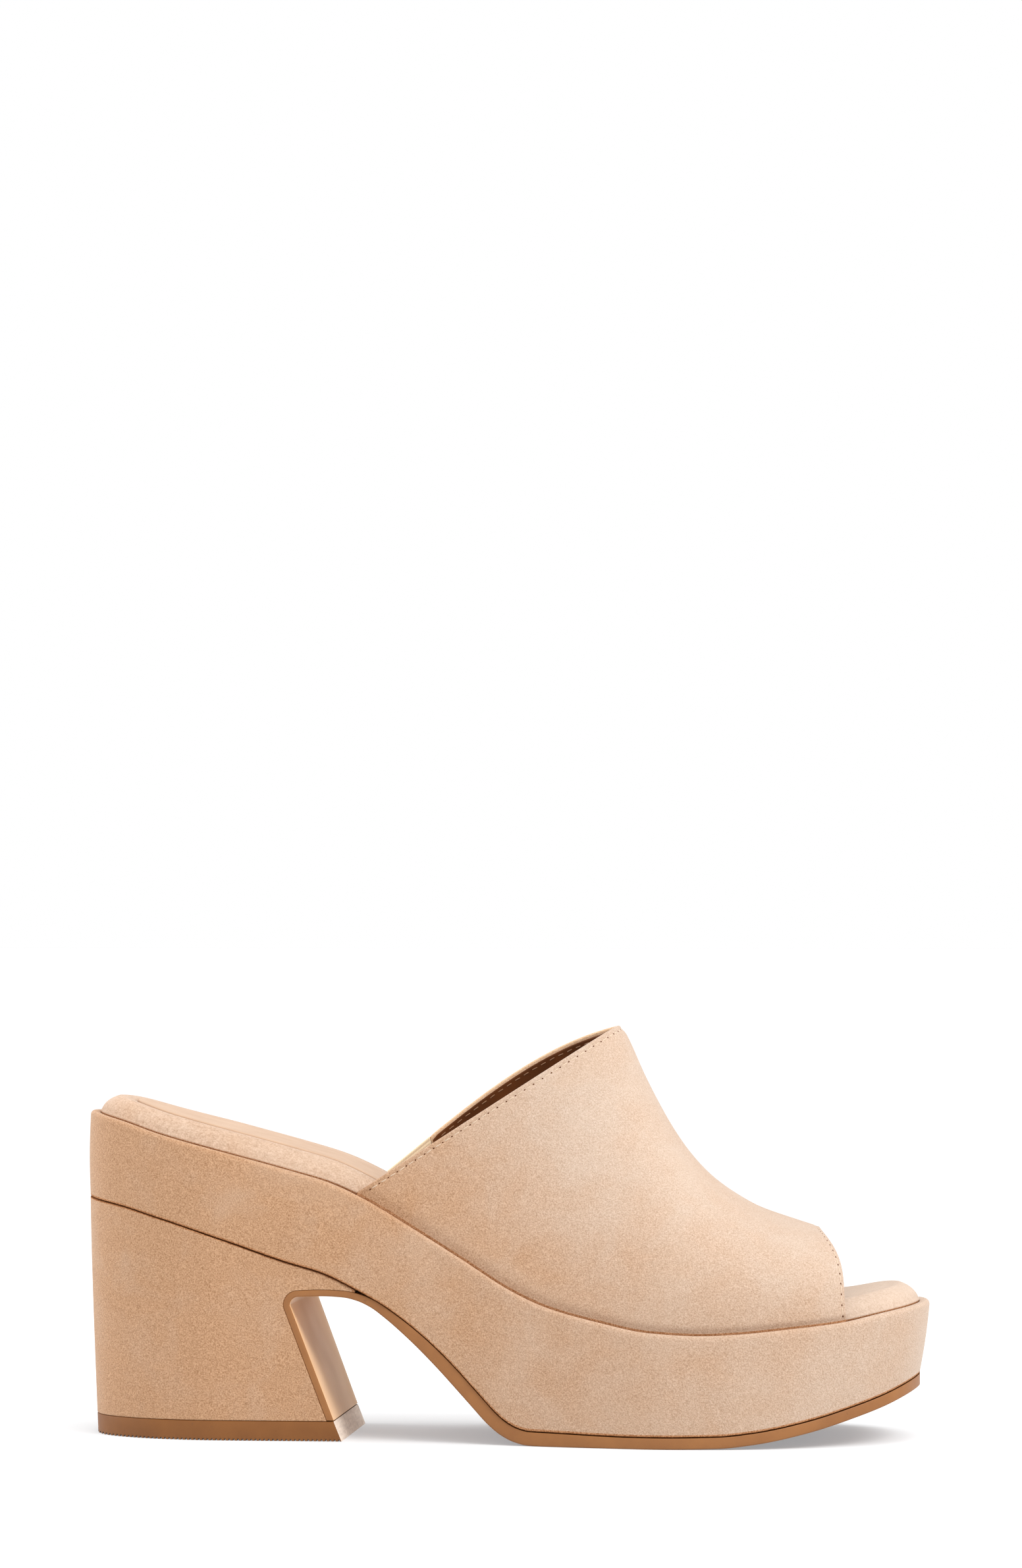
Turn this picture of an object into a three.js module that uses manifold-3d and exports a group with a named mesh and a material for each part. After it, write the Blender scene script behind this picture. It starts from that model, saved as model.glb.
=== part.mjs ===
// A suede platform mule with a block heel, right shoe, standing empty on its sole.
// Millimetres. +X runs to the toe, +Y to the medial side, +Z up.
// The origin is on the floor, in the middle of the shoe's length and width.
import * as THREE from 'three';
import { mergeVertices } from 'three/addons/utils/BufferGeometryUtils.js';
import Module from 'manifold-3d';

const wasm = await Module();
wasm.setup();

// Overall sizes
const length = 245;
const ballWidth = 88;
const heelRise = 94;
const ballRise = 32;
const toeRimLift = 8;
const toeSpring = 16.2;

// Pieces under the foot
const platformRear = 26;
const platformRim = 2;
const toeDraft = 2.8;
const heelTaper = 2.4;
const topLiftHeight = 5.7;
const soleThickness = 3.2;
const soleThin = 1.9;
const soleWaist = 3.9;
const breastReach = 77.5;
const breastLean = 14.8;
const breastCorner = 2.4;
const archSpan = 69.4;
const noseDepth = 4.9;
const noseMeet = 86.5;
const noseTip = 81.5;
const noseFade = 34;

// Pieces round the foot
const padRise = 5.8;
const padRoll = 6;
const padLedge = 3.1;
const padSink = 1;
const padTurn = 14;
const padLead = 18;
const sockMargin = 10.4;
const sockThickness = 0.9;
const sockFront = 134;
const upperWall = 2;
const upperLedge = 2.2;
const collarRise = 24.8;
const collarTop = 154.9;
const collarFoot = 81.5;
const collarFootMedial = 80;
const frontTop = 213.5;
const frontFoot = 222.4;
const frontFootMedial = 215.8;
const frontRise = 28.1;
const medialBow = 5;
const frontBow = 3.5;
const frontBowMedial = -0.8;
const frontSkew = 3;
const sideSwell = 1.2;
const goreTop = 96.5;
const goreFoot = 106;
const goreWall = 1.2;
const goreSpread = 24;

// Clearance between neighbouring pieces
const gap = 0.3;

// Resolution
const planSteps = 46;
const upperRows = 26;
const upperColumns = 34;

const backX = -length / 2;

// The platform's outline from above. At is a share of the length from the back,
// the other columns are shares of the ball width on each side of the long axis.
const outlineTable = [
  { at: 0.00, lateral: 0.000, medial: 0.000 },
  { at: 0.02, lateral: 0.175, medial: 0.175 },
  { at: 0.05, lateral: 0.250, medial: 0.250 },
  { at: 0.10, lateral: 0.315, medial: 0.315 },
  { at: 0.17, lateral: 0.347, medial: 0.347 },
  { at: 0.30, lateral: 0.345, medial: 0.335 },
  { at: 0.42, lateral: 0.360, medial: 0.325 },
  { at: 0.52, lateral: 0.410, medial: 0.360 },
  { at: 0.62, lateral: 0.470, medial: 0.440 },
  { at: 0.70, lateral: 0.500, medial: 0.490 },
  { at: 0.75, lateral: 0.494, medial: 0.500 },
  { at: 0.82, lateral: 0.465, medial: 0.492 },
  { at: 0.90, lateral: 0.388, medial: 0.435 },
  { at: 0.95, lateral: 0.305, medial: 0.362 },
  { at: 0.98, lateral: 0.215, medial: 0.265 },
  { at: 1.00, lateral: 0.000, medial: 0.000 },
];

// The platform's top edge from the side. Climb is a share of the drop from heel to
// ball, lift a share of the rim's lift at the toe.
const rimTable = [
  { at: 0.00, climb: 1.000, lift: 0.00 },
  { at: 0.05, climb: 0.955, lift: 0.00 },
  { at: 0.10, climb: 0.895, lift: 0.00 },
  { at: 0.18, climb: 0.812, lift: 0.00 },
  { at: 0.26, climb: 0.727, lift: 0.00 },
  { at: 0.30, climb: 0.680, lift: 0.00 },
  { at: 0.34, climb: 0.610, lift: 0.00 },
  { at: 0.40, climb: 0.472, lift: 0.00 },
  { at: 0.46, climb: 0.328, lift: 0.00 },
  { at: 0.52, climb: 0.186, lift: 0.00 },
  { at: 0.56, climb: 0.118, lift: 0.00 },
  { at: 0.62, climb: 0.057, lift: 0.00 },
  { at: 0.68, climb: 0.012, lift: 0.00 },
  { at: 0.74, climb: 0.000, lift: 0.00 },
  { at: 0.78, climb: 0.000, lift: 0.05 },
  { at: 0.84, climb: 0.000, lift: 0.22 },
  { at: 0.90, climb: 0.000, lift: 0.42 },
  { at: 0.95, climb: 0.000, lift: 0.73 },
  { at: 1.00, climb: 0.000, lift: 1.00 },
];

// The seam between platform and heel block, as the platform's depth under its rim.
const seamTable = [
  { at: 0.00, depth: 0.96 },
  { at: 0.10, depth: 0.92 },
  { at: 0.18, depth: 0.96 },
  { at: 0.26, depth: 1.01 },
  { at: 0.40, depth: 1.01 },
];

// The underside of the outsole. Arch rows run from the breast's corner forward over
// the arch's span, toe rows over the shoe's length.
const archTable = [
  { at: 0.000, rise: 0.995 },
  { at: 0.104, rise: 1.000 },
  { at: 0.190, rise: 0.992 },
  { at: 0.245, rise: 0.970 },
  { at: 0.300, rise: 0.928 },
  { at: 0.353, rise: 0.866 },
  { at: 0.463, rise: 0.710 },
  { at: 0.571, rise: 0.533 },
  { at: 0.681, rise: 0.338 },
  { at: 0.737, rise: 0.238 },
  { at: 0.791, rise: 0.144 },
  { at: 0.847, rise: 0.070 },
  { at: 0.901, rise: 0.026 },
  { at: 0.956, rise: 0.004 },
  { at: 1.000, rise: 0.000 },
];
const springTable = [
  { at: 0.55, lift: 0.00 },
  { at: 0.69, lift: 0.000 },
  { at: 0.76, lift: 0.018 },
  { at: 0.80, lift: 0.080 },
  { at: 0.86, lift: 0.26 },
  { at: 0.92, lift: 0.53 },
  { at: 0.95, lift: 0.69 },
  { at: 0.98, lift: 0.89 },
  { at: 1.00, lift: 1.03 },
];
const soleWeightTable = [
  { at: 0.00, thin: 1, waist: 0 },
  { at: 0.31, thin: 1, waist: 0 },
  { at: 0.45, thin: 0, waist: 1 },
  { at: 0.54, thin: 0, waist: 1 },
  { at: 0.66, thin: 0, waist: 0 },
  { at: 1.00, thin: 0, waist: 0 },
];

// How far the platform's foot draws in, as a share of the draft at the toe.
const draftTable = [
  { at: 0.00, share: 0.00 },
  { at: 0.40, share: 0.00 },
  { at: 0.60, share: 0.25 },
  { at: 0.80, share: 0.45 },
  { at: 0.93, share: 0.80 },
  { at: 1.00, share: 1.00 },
];

// The rolled edge of the footbed: inward share of the roll, upward share of the rise.
const rollTable = [
  { inward: 0.00, up: 0.00 },
  { inward: 0.06, up: 0.20 },
  { inward: 0.22, up: 0.47 },
  { inward: 0.52, up: 0.76 },
  { inward: 1.00, up: 1.00 },
  { inward: 1.58, up: 0.96 },
];

// The upper's ridge from collar to front edge. Along and drop are shares of the run
// and the fall between the two, side a share of the ball width to the medial side,
// and square is the exponent of the section's arch.
const ridgeTable = [
  { at: 0.00, along: 0.000, drop: 0.000, side: 0.020, square: 2.30 },
  { at: 0.04, along: 0.037, drop: 0.046, side: 0.021, square: 2.29 },
  { at: 0.10, along: 0.063, drop: 0.098, side: 0.022, square: 2.28 },
  { at: 0.20, along: 0.127, drop: 0.242, side: 0.024, square: 2.26 },
  { at: 0.30, along: 0.196, drop: 0.379, side: 0.026, square: 2.26 },
  { at: 0.40, along: 0.270, drop: 0.510, side: 0.030, square: 2.28 },
  { at: 0.50, along: 0.357, drop: 0.635, side: 0.034, square: 2.30 },
  { at: 0.60, along: 0.460, drop: 0.745, side: 0.038, square: 2.33 },
  { at: 0.70, along: 0.582, drop: 0.835, side: 0.042, square: 2.37 },
  { at: 0.80, along: 0.717, drop: 0.906, side: 0.046, square: 2.42 },
  { at: 0.90, along: 0.861, drop: 0.956, side: 0.050, square: 2.48 },
  { at: 1.00, along: 1.000, drop: 1.000, side: 0.052, square: 2.55 },
];

// Reads a column of a table at a place, on a smooth curve that never overshoots.
function read(table, column, place) {
  const last = table.length - 1;
  const at = Math.min(Math.max(place, table[0].at), table[last].at);
  let k = 0;
  while (k < last - 1 && table[k + 1].at < at) k += 1;
  const step = (i) => table[i + 1].at - table[i].at;
  const slope = (i) => (table[i + 1][column] - table[i][column]) / step(i);
  const tangent = (i) => {
    if (i === 0) return slope(0);
    if (i === last) return slope(last - 1);
    const before = slope(i - 1);
    const after = slope(i);
    if (before * after <= 0) return 0;
    const a = 2 * step(i) + step(i - 1);
    const b = step(i) + 2 * step(i - 1);
    return (a + b) / (a / before + b / after);
  };
  const h = step(k);
  const t = (at - table[k].at) / h;
  const rest = 1 - t;
  return table[k][column] * rest * rest * (1 + 2 * t)
    + table[k + 1][column] * t * t * (3 - 2 * t)
    + tangent(k) * h * t * rest * rest
    - tangent(k + 1) * h * t * t * rest;
}

const shareAt = (x) => (x - backX) / length;
const mix = (a, b, t) => a + (b - a) * t;
const clampShare = (s) => Math.min(Math.max(s, 0), 1);

// The outline is read by angle, so that both ends come out round.
const angleOf = (share) => Math.acos(1 - 2 * clampShare(share)) / Math.PI;
const angleTable = outlineTable.map((row) => ({ ...row, at: angleOf(row.at) }));
const halfWidth = (x, side) => (
  read(angleTable, side, angleOf(shareAt(x))) * ballWidth
);

const heelDrop = heelRise - ballRise;
const rimAt = (x) => {
  const s = shareAt(x);
  return ballRise + heelDrop * read(rimTable, 'climb', s) + toeRimLift * read(rimTable, 'lift', s);
};

// Arch height follows the seam over the nose of the heel block.
const freeSeam = (x) => rimAt(x) - platformRear * read(seamTable, 'depth', shareAt(x));
const breastX = backX + breastReach;
const archStartX = breastX - breastLean;
const archX = archStartX + breastCorner;
const archTopX = archX + archSpan * archTable[1].at;
const archRise = freeSeam(archTopX) - noseDepth - soleThin;
const undersideAt = (x) => {
  const arch = archRise * read(archTable, 'rise', (x - archX) / archSpan);
  return arch + toeSpring * read(springTable, 'lift', shareAt(x));
};
const soleAt = (x) => {
  const thin = read(soleWeightTable, 'thin', shareAt(x));
  const waist = read(soleWeightTable, 'waist', shareAt(x));
  return soleThin * thin + soleWaist * waist + soleThickness * (1 - thin - waist);
};

// A ring of plan points, lateral side first, drawn in by an amount at each place.
function planRing(inset, steps = planSteps) {
  const ring = [];
  for (let k = 0; k < 2 * steps; k += 1) {
    const u = k <= steps ? k / steps : 2 - k / steps;
    const share = (1 - Math.cos(Math.PI * u)) / 2;
    const side = k <= steps ? 'lateral' : 'medial';
    const y = read(angleTable, side, u) * ballWidth * (k <= steps ? -1 : 1);
    ring.push({ x: backX + share * length, y });
  }
  const count = ring.length;
  return ring.map((p, k) => {
    const before = ring[(k + count - 1) % count];
    const after = ring[(k + 1) % count];
    const run = Math.hypot(after.x - before.x, after.y - before.y);
    const d = typeof inset === 'function' ? inset(p.x) : inset;
    return {
      x: p.x - ((after.y - before.y) / run) * d,
      y: p.y + ((after.x - before.x) / run) * d,
    };
  });
}

// Skins a stack of rings with equal point counts and closes both ends with strips.
function ringSolid(rings) {
  const count = rings[0].length;
  const positions = rings.flat().flat();
  const index = [];
  for (let r = 0; r < rings.length - 1; r += 1) {
    for (let k = 0; k < count; k += 1) {
      const a = r * count + k;
      const b = r * count + ((k + 1) % count);
      const c = b + count;
      const d = a + count;
      index.push(a, b, c, a, c, d);
    }
  }
  const cap = (start, flip) => {
    const put = (a, b, c) => index.push(start + a, start + (flip ? c : b), start + (flip ? b : c));
    const half = count / 2;
    for (let k = 0; k < half; k += 1) {
      const left = (k) % count;
      const leftNext = k + 1;
      const right = (count - k) % count;
      const rightNext = count - k - 1;
      if (leftNext !== rightNext) put(left, rightNext, leftNext);
      if (left !== right) put(left, right, rightNext);
    }
  };
  cap(0, false);
  cap((rings.length - 1) * count, true);
  return geometryFrom(positions, index);
}

function geometryFrom(positions, index) {
  const geometry = new THREE.BufferGeometry();
  geometry.setAttribute('position', new THREE.Float32BufferAttribute(positions, 3));
  geometry.setIndex(index);
  return mergeVertices(geometry, 1e-4);
}

function manifoldFrom(source) {
  const geometry = source.clone();
  geometry.deleteAttribute('normal');
  geometry.deleteAttribute('uv');
  const merged = mergeVertices(geometry, 1e-4);
  return new wasm.Manifold(new wasm.Mesh({
    numProp: 3,
    vertProperties: Float32Array.from(merged.attributes.position.array),
    triVerts: Uint32Array.from(merged.index.array),
  }));
}

function geometryOf(solid) {
  const mesh = solid.getMesh();
  return geometryFrom(Array.from(mesh.vertProperties), Array.from(mesh.triVerts));
}

const level = (ring, height) => ring.map((p) => [p.x, p.y, height(p.x)]);

// A profile in the XZ plane, drawn out over a span across the shoe.
function sideProfile(points, fromY, toY) {
  const shape = new THREE.Shape(points.map(([x, z]) => new THREE.Vector2(x, z)));
  const geometry = new THREE.ExtrudeGeometry(shape, { depth: toY - fromY, bevelEnabled: false });
  geometry.rotateX(Math.PI / 2);
  geometry.translate(0, toY, 0);
  return geometry;
}

// The outsole's path: up the breast, round its corner, over the arch to the toe.
// Each place has its air side, and its inner side at the sheet's thickness.
const cornerSteps = 5;
const breastSteps = 5;
const archStep = 3.2;
const cornerZ = archRise * archTable[0].rise - breastCorner;
function airPath() {
  const path = [];
  const startZ = topLiftHeight + gap;
  for (let k = 0; k < breastSteps; k += 1) {
    const z = mix(startZ, cornerZ, k / breastSteps);
    path.push({ x: breastX - (breastLean * z) / cornerZ, z });
  }
  for (let k = 0; k <= cornerSteps; k += 1) {
    const turn = (Math.PI / 2) * (k / cornerSteps);
    path.push({
      x: archStartX + breastCorner * (1 - Math.cos(turn)),
      z: cornerZ + breastCorner * Math.sin(turn),
    });
  }
  for (let x = archX + archStep; x < archX + archSpan; x += archStep) {
    path.push({ x, z: undersideAt(x) });
  }
  return path;
}

function withInnerSide(path, extra) {
  return path.map((p, k) => {
    const before = path[Math.max(k - 1, 0)];
    const after = path[Math.min(k + 1, path.length - 1)];
    const run = Math.hypot(after.x - before.x, after.z - before.z);
    const thick = soleAt(p.x) + extra;
    if (k === 0) return { ...p, innerX: p.x - (thick * run) / (after.z - before.z), innerZ: p.z };
    return {
      ...p,
      innerX: p.x - ((after.z - before.z) / run) * thick,
      innerZ: p.z + ((after.x - before.x) / run) * thick,
    };
  });
}
const waistPath = withInnerSide(airPath(), 0);

// Top of the outsole by place, from the nose of the heel block forward.
const innerTable = waistPath
  .slice(breastSteps + cornerSteps)
  .map((p) => ({ at: p.innerX, z: p.innerZ }));
const innerAt = (x) => {
  const last = innerTable[innerTable.length - 1];
  if (x <= last.at) return read(innerTable, 'z', x);
  return undersideAt(x) + soleAt(x);
};

const noseMeetX = backX + noseMeet;
const noseBlendX = archTopX - noseDepth;
const platformFoot = (x) => {
  if (x >= noseMeetX) return innerAt(x) + gap;
  const blend = clampShare((x - noseBlendX) / (noseMeetX - noseBlendX)) ** 3;
  return mix(freeSeam(x), innerAt(x) + gap, blend);
};

const draftAt = (x) => toeDraft * read(draftTable, 'share', shareAt(x));

function platform() {
  const foot = planRing(draftAt);
  const side = planRing(0);
  return ringSolid([
    level(foot, platformFoot),
    level(side, (x) => rimAt(x) - platformRim),
    level(planRing(platformRim * 0.3), (x) => rimAt(x) - platformRim * 0.3),
    level(planRing(platformRim), rimAt),
  ]);
}

function outsole() {
  const rows = waistPath.map((p) => {
    const underHeel = 1 - clampShare((p.x - archStartX) / noseFade);
    const width = (side, x) => (
      halfWidth(x, side) - draftAt(x) - taperAt(p.z) * underHeel
    );
    return [
      [p.x, -width('lateral', p.x), p.z],
      [p.innerX, -width('lateral', p.innerX), p.innerZ],
      [p.innerX, width('medial', p.innerX), p.innerZ],
      [p.x, width('medial', p.x), p.z],
    ];
  });
  const ring = planRing(draftAt);
  const landX = archX + archSpan + archStep / 2;
  for (let k = 1; k < planSteps; k += 1) {
    const near = ring[k];
    const far = ring[ring.length - k];
    if (Math.min(near.x, far.x) > landX) {
      rows.push([
        [near.x, near.y, undersideAt(near.x)],
        [near.x, near.y, undersideAt(near.x) + soleAt(near.x)],
        [far.x, far.y, undersideAt(far.x) + soleAt(far.x)],
        [far.x, far.y, undersideAt(far.x)],
      ]);
    }
  }
  return ringSolid(rows.map((row) => row.slice().reverse()));
}

// The heel narrows a little to the floor, most of it near the top-lift.
const taperPower = 1.3;
const taperAt = (z) => heelTaper * (1 - clampShare(z / (heelRise - platformRear))) ** taperPower;

const towerLevels = [-0.1, 0, 0.12, 0.27, 0.44, 0.66, 1, 1.6]
  .map((share) => share * (heelRise - platformRear));
function heelTower() {
  const frontX = noseMeetX + noseDepth;
  return ringSolid(towerLevels.map((z) => {
    const ring = planRing(taperAt(z));
    const near = ring.filter((p, k) => k <= planSteps && p.x < frontX);
    const far = ring.filter((p, k) => k > planSteps && p.x < frontX);
    const lateral = near[near.length - 1];
    const medial = far[0];
    const loop = [...near, { x: frontX, y: lateral.y }, { x: frontX, y: medial.y }, ...far];
    return loop.map((p) => [p.x, p.y, z]);
  }));
}

const span = ballWidth;
const heelSeamStep = 5;
function heelBlock() {
  const blockFront = withInnerSide(airPath(), gap);
  const tipX = backX + noseTip;
  const front = blockFront
    .filter((p) => p.innerX < tipX && p.x < noseMeetX)
    .map((p) => [p.innerX, p.innerZ]);
  const startZ = topLiftHeight + gap;
  const top = [];
  for (let x = tipX; x > backX - heelSeamStep; x -= heelSeamStep) {
    top.push([x, platformFoot(x) - gap]);
  }
  const outer = backX - 2 * heelSeamStep;
  const profile = [[outer, startZ], ...front, ...top, [outer, platformFoot(backX) - gap]];
  return geometryOf(
    manifoldFrom(heelTower()).intersect(manifoldFrom(sideProfile(profile, -span, span))),
  );
}

function topLift() {
  const topX = waistPath[0].x;
  const outer = backX - 2 * heelSeamStep;
  const profile = [[outer, 0], [breastX, 0], [topX, topLiftHeight], [outer, topLiftHeight]];
  return geometryOf(
    manifoldFrom(heelTower()).intersect(manifoldFrom(sideProfile(profile, -span, span))),
  );
}

// The footbed stands inside the rim, and further inside where the upper passes it.
const collarFootX = backX + collarFoot;
const frontFootX = backX + frontFoot;
const padInset = (x) => {
  const inside = upperLedge + upperWall + gap - padLedge;
  const rear = clampShare((x - collarFootX + padLead) / padTurn);
  const front = clampShare((frontFootX + padTurn - x) / padTurn);
  const ease = (t) => t * t * (3 - 2 * t);
  return padLedge + inside * ease(rear) * ease(front);
};

function footbed() {
  const rings = rollTable.map((row) => level(
    planRing((x) => padInset(x) + padRoll * row.inward),
    (x) => rimAt(x) + gap + padRise * row.up,
  ));
  const seat = level(
    planRing((x) => padInset(x) + sockMargin),
    (x) => rimAt(x) + gap + padRise - padSink,
  );
  return ringSolid([...rings, seat]);
}

function heelSock() {
  const floorOf = (x) => rimAt(x) + padRise - padSink + 2 * gap;
  const inset = (extra) => (x) => padInset(x) + sockMargin + gap + extra;
  const whole = ringSolid([
    level(planRing(inset(0)), floorOf),
    level(planRing(inset(0)), (x) => floorOf(x) + sockThickness * 0.5),
    level(planRing(inset(sockThickness)), (x) => floorOf(x) + sockThickness),
  ]);
  const frontX = backX + sockFront;
  const outer = backX - padRoll;
  const keep = sideProfile(
    [[outer, 0], [frontX, 0], [frontX, heelRise * 1.5], [outer, heelRise * 1.5]],
    -span,
    span,
  );
  return geometryOf(manifoldFrom(whole).intersect(manifoldFrom(keep)));
}

// A point on the upper's outside. Row runs from the collar, 0, to the front edge, 1.
// Column runs from the lateral feather edge, -1, over the ridge, 0, to the medial, 1.
const collarTopX = backX + collarTop;
const frontTopX = backX + frontTop;
const collarTopZ = heelRise + collarRise;
const frontTopZ = ballRise + frontRise;
const bowPeak = 1.3;
function upperPoint(row, column) {
  const side = column < 0 ? 'lateral' : 'medial';
  const sign = column < 0 ? -1 : 1;
  const rearX = column < 0 ? collarFootX : backX + collarFootMedial;
  const footX = mix(rearX, column < 0 ? frontFootX : backX + frontFootMedial, row);
  const footY = sign * (halfWidth(footX, side) - upperLedge);
  const footZ = rimAt(footX) + gap;
  const ridgeX = mix(collarTopX, frontTopX, read(ridgeTable, 'along', row));
  const ridgeZ = mix(collarTopZ, frontTopZ, read(ridgeTable, 'drop', row));
  const ridgeY = ballWidth * read(ridgeTable, 'side', row);
  const power = 2 / read(ridgeTable, 'square', row);
  const angle = (1 - Math.abs(column)) * (Math.PI / 2);
  const up = Math.sin(angle) ** power;
  const out = Math.cos(angle) ** power;
  const bulge = bowPeak * Math.sin(2 * angle) * Math.cos(angle);
  const rise = Math.hypot(ridgeX - footX, ridgeZ - footZ);
  const collarBow = column > 0 ? medialBow * (1 - row) ** 3 * bulge : 0;
  const toeSkew = sign * frontSkew * out * (1 - out);
  const toeBow = ((column < 0 ? frontBow : frontBowMedial) * bulge - toeSkew) * row ** 3;
  const swell = sideSwell * Math.sin(Math.PI * row) * Math.sin(2 * angle);
  return [
    mix(footX, ridgeX, up) - (collarBow * (ridgeZ - footZ)) / rise + toeBow,
    mix(ridgeY, footY, out) + sign * swell,
    mix(footZ, ridgeZ, up) + (collarBow * (ridgeX - footX)) / rise,
  ];
}

// The same surface set in along its normal.
const probe = 1e-3;
function upperInside(row, column, depth) {
  const at = (r, c) => new THREE.Vector3(...upperPoint(r, c));
  const r = Math.min(Math.max(row, probe), 1 - probe);
  const c = Math.min(Math.max(column, probe - 1), 1 - probe);
  const along = at(r + probe, c).sub(at(r - probe, c));
  const across = at(r, c + probe).sub(at(r, c - probe));
  const inward = along.cross(across).normalize();
  if (inward.z > 0 && Math.abs(column) < 0.5) inward.negate();
  if (inward.y * column > 0 && Math.abs(column) >= 0.5) inward.negate();
  const point = at(row, column).addScaledVector(inward, depth);
  if (Math.abs(column) > 0.999) point.z = rimAt(point.x) + gap;
  return [point.x, point.y, point.z];
}

function upperShell(outerDepth, innerDepth, fromRow, toRow) {
  const rings = [];
  for (let r = 0; r <= upperRows; r += 1) {
    const row = mix(fromRow, toRow, r / upperRows);
    const ring = [];
    for (let c = 0; c <= upperColumns; c += 1) {
      ring.push(upperInside(row, (2 * c) / upperColumns - 1, outerDepth));
    }
    for (let c = upperColumns; c >= 0; c -= 1) {
      ring.push(upperInside(row, (2 * c) / upperColumns - 1, innerDepth));
    }
    rings.push(ring);
  }
  return ringBand(rings);
}

// Skins rings whose first half is the outside and second half the inside of a wall.
function ringBand(rings) {
  const count = rings[0].length;
  const positions = rings.flat().flat();
  const index = [];
  for (let r = 0; r < rings.length - 1; r += 1) {
    for (let k = 0; k < count; k += 1) {
      const a = r * count + k;
      const b = r * count + ((k + 1) % count);
      index.push(a, b + count, b, a, a + count, b + count);
    }
  }
  const end = (start, flip) => {
    for (let k = 0; k < count / 2 - 1; k += 1) {
      const a = start + k;
      const b = start + k + 1;
      const c = start + count - 2 - k;
      const d = start + count - 1 - k;
      if (flip) index.push(a, c, b, a, d, c);
      else index.push(a, b, c, a, c, d);
    }
  };
  end(0, false);
  end((rings.length - 1) * count, true);
  return geometryFrom(positions, index);
}

// The elastic gore fills the rear medial corner, behind a slanting cut in the upper.
function goreCut(shift) {
  const topX = backX + goreTop - shift;
  const footX = backX + goreFoot - shift;
  const farX = collarFootX - goreSpread;
  return manifoldFrom(sideProfile(
    [[farX, 0], [footX, 0], [footX, rimAt(footX)], [topX, rimAt(topX) + goreSpread],
      [topX, collarTopZ], [farX, collarTopZ]],
    0,
    span,
  ));
}

function upper() {
  return geometryOf(manifoldFrom(upperShell(0, upperWall, 0, 1)).subtract(goreCut(0)));
}

function gore() {
  const outer = (upperWall - goreWall) / 2;
  const rows = upperShell(outer, outer + goreWall, 0, 0.4);
  return geometryOf(manifoldFrom(rows).intersect(goreCut(gap)));
}

const suede = new THREE.MeshStandardMaterial({ color: 0xd9ae88, roughness: 0.92, metalness: 0 });
const soleTan = new THREE.MeshStandardMaterial({ color: 0xb07c4e, roughness: 0.55, metalness: 0 });
const liftRubber = new THREE.MeshStandardMaterial({ color: 0x96623b, roughness: 0.6, metalness: 0 });
const sockLeather = new THREE.MeshStandardMaterial({ color: 0xe5c6ab, roughness: 0.5, metalness: 0 });
const elastic = new THREE.MeshStandardMaterial({ color: 0xecd6bb, roughness: 0.85, metalness: 0 });

const mule = new THREE.Group();
function add(name, geometry, material) {
  const mesh = new THREE.Mesh(geometry, material.clone());
  mesh.name = name;
  mule.add(mesh);
}

add('top_lift', topLift(), liftRubber);
add('heel_block', heelBlock(), suede);
add('outsole', outsole(), soleTan);
add('platform', platform(), suede);
add('footbed', footbed(), suede);
add('heel_sock', heelSock(), sockLeather);
add('upper', upper(), suede);
add('gore', gore(), elastic);

export default mule;
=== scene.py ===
"""Looks of a suede platform mule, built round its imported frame.

Sizes below are millimetres in the frame's own axes: +X to the toe, +Y to the medial
side, +Z up. Meshes are made in metres.
"""
import math

import bmesh
import bpy
import numpy as np
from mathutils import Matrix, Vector


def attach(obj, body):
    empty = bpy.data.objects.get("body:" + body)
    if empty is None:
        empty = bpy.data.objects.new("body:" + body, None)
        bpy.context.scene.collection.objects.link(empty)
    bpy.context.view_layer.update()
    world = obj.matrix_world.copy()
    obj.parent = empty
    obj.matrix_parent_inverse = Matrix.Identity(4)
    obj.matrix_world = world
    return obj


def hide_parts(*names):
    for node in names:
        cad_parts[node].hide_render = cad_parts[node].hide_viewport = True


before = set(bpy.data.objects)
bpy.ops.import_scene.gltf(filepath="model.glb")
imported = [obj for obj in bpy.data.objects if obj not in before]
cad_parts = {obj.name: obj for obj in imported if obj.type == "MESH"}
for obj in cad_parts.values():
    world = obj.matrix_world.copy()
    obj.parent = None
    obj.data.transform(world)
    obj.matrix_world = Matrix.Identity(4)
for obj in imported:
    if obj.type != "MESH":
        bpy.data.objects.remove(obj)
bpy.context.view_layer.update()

MM = 0.001

# Camera, worked out from the near and far corners of the top-lift in the photo
CAMERA_AWAY = 1500
CAMERA_TURN = 5.56
CAMERA_YAW = -0.04
CAMERA_HEIGHT = 146
CAMERA_PITCH = 1.64
CAMERA_SENSOR = 36
CAMERA_FOCUS = 118.07

# Overall sizes
LENGTH = 245
BALL_WIDTH = 88
HEEL_RISE = 94
BALL_RISE = 32
TOE_RIM_LIFT = 8
TOE_SPRING = 16.2

# Pieces under the foot
PLATFORM_REAR = 26
FOLD_RISE = 1.6
FOLD_SHARE = 0.42
FOLD_LIP = 0.45
GROOVE_DEPTH = 0.8
TOE_DRAFT = 2.8
HEEL_TAPER = 2.4
TAPER_POWER = 1.3
TOP_LIFT_HEIGHT = 5.7
SOLE_THICKNESS = 3.2
SOLE_THIN = 1.9
SOLE_WAIST = 3.9
BREAST_REACH = 77.5
BREAST_LEAN = 14.8
BREAST_CORNER = 2.4
BREAST_HOLLOW = 0.7
ARCH_SPAN = 69.4
NOSE_DEPTH = 4.9
NOSE_MEET = 86.5
NOSE_TIP = 81.5
RIB_PITCH = 1.27
RIB_DEPTH = 0.55

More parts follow.
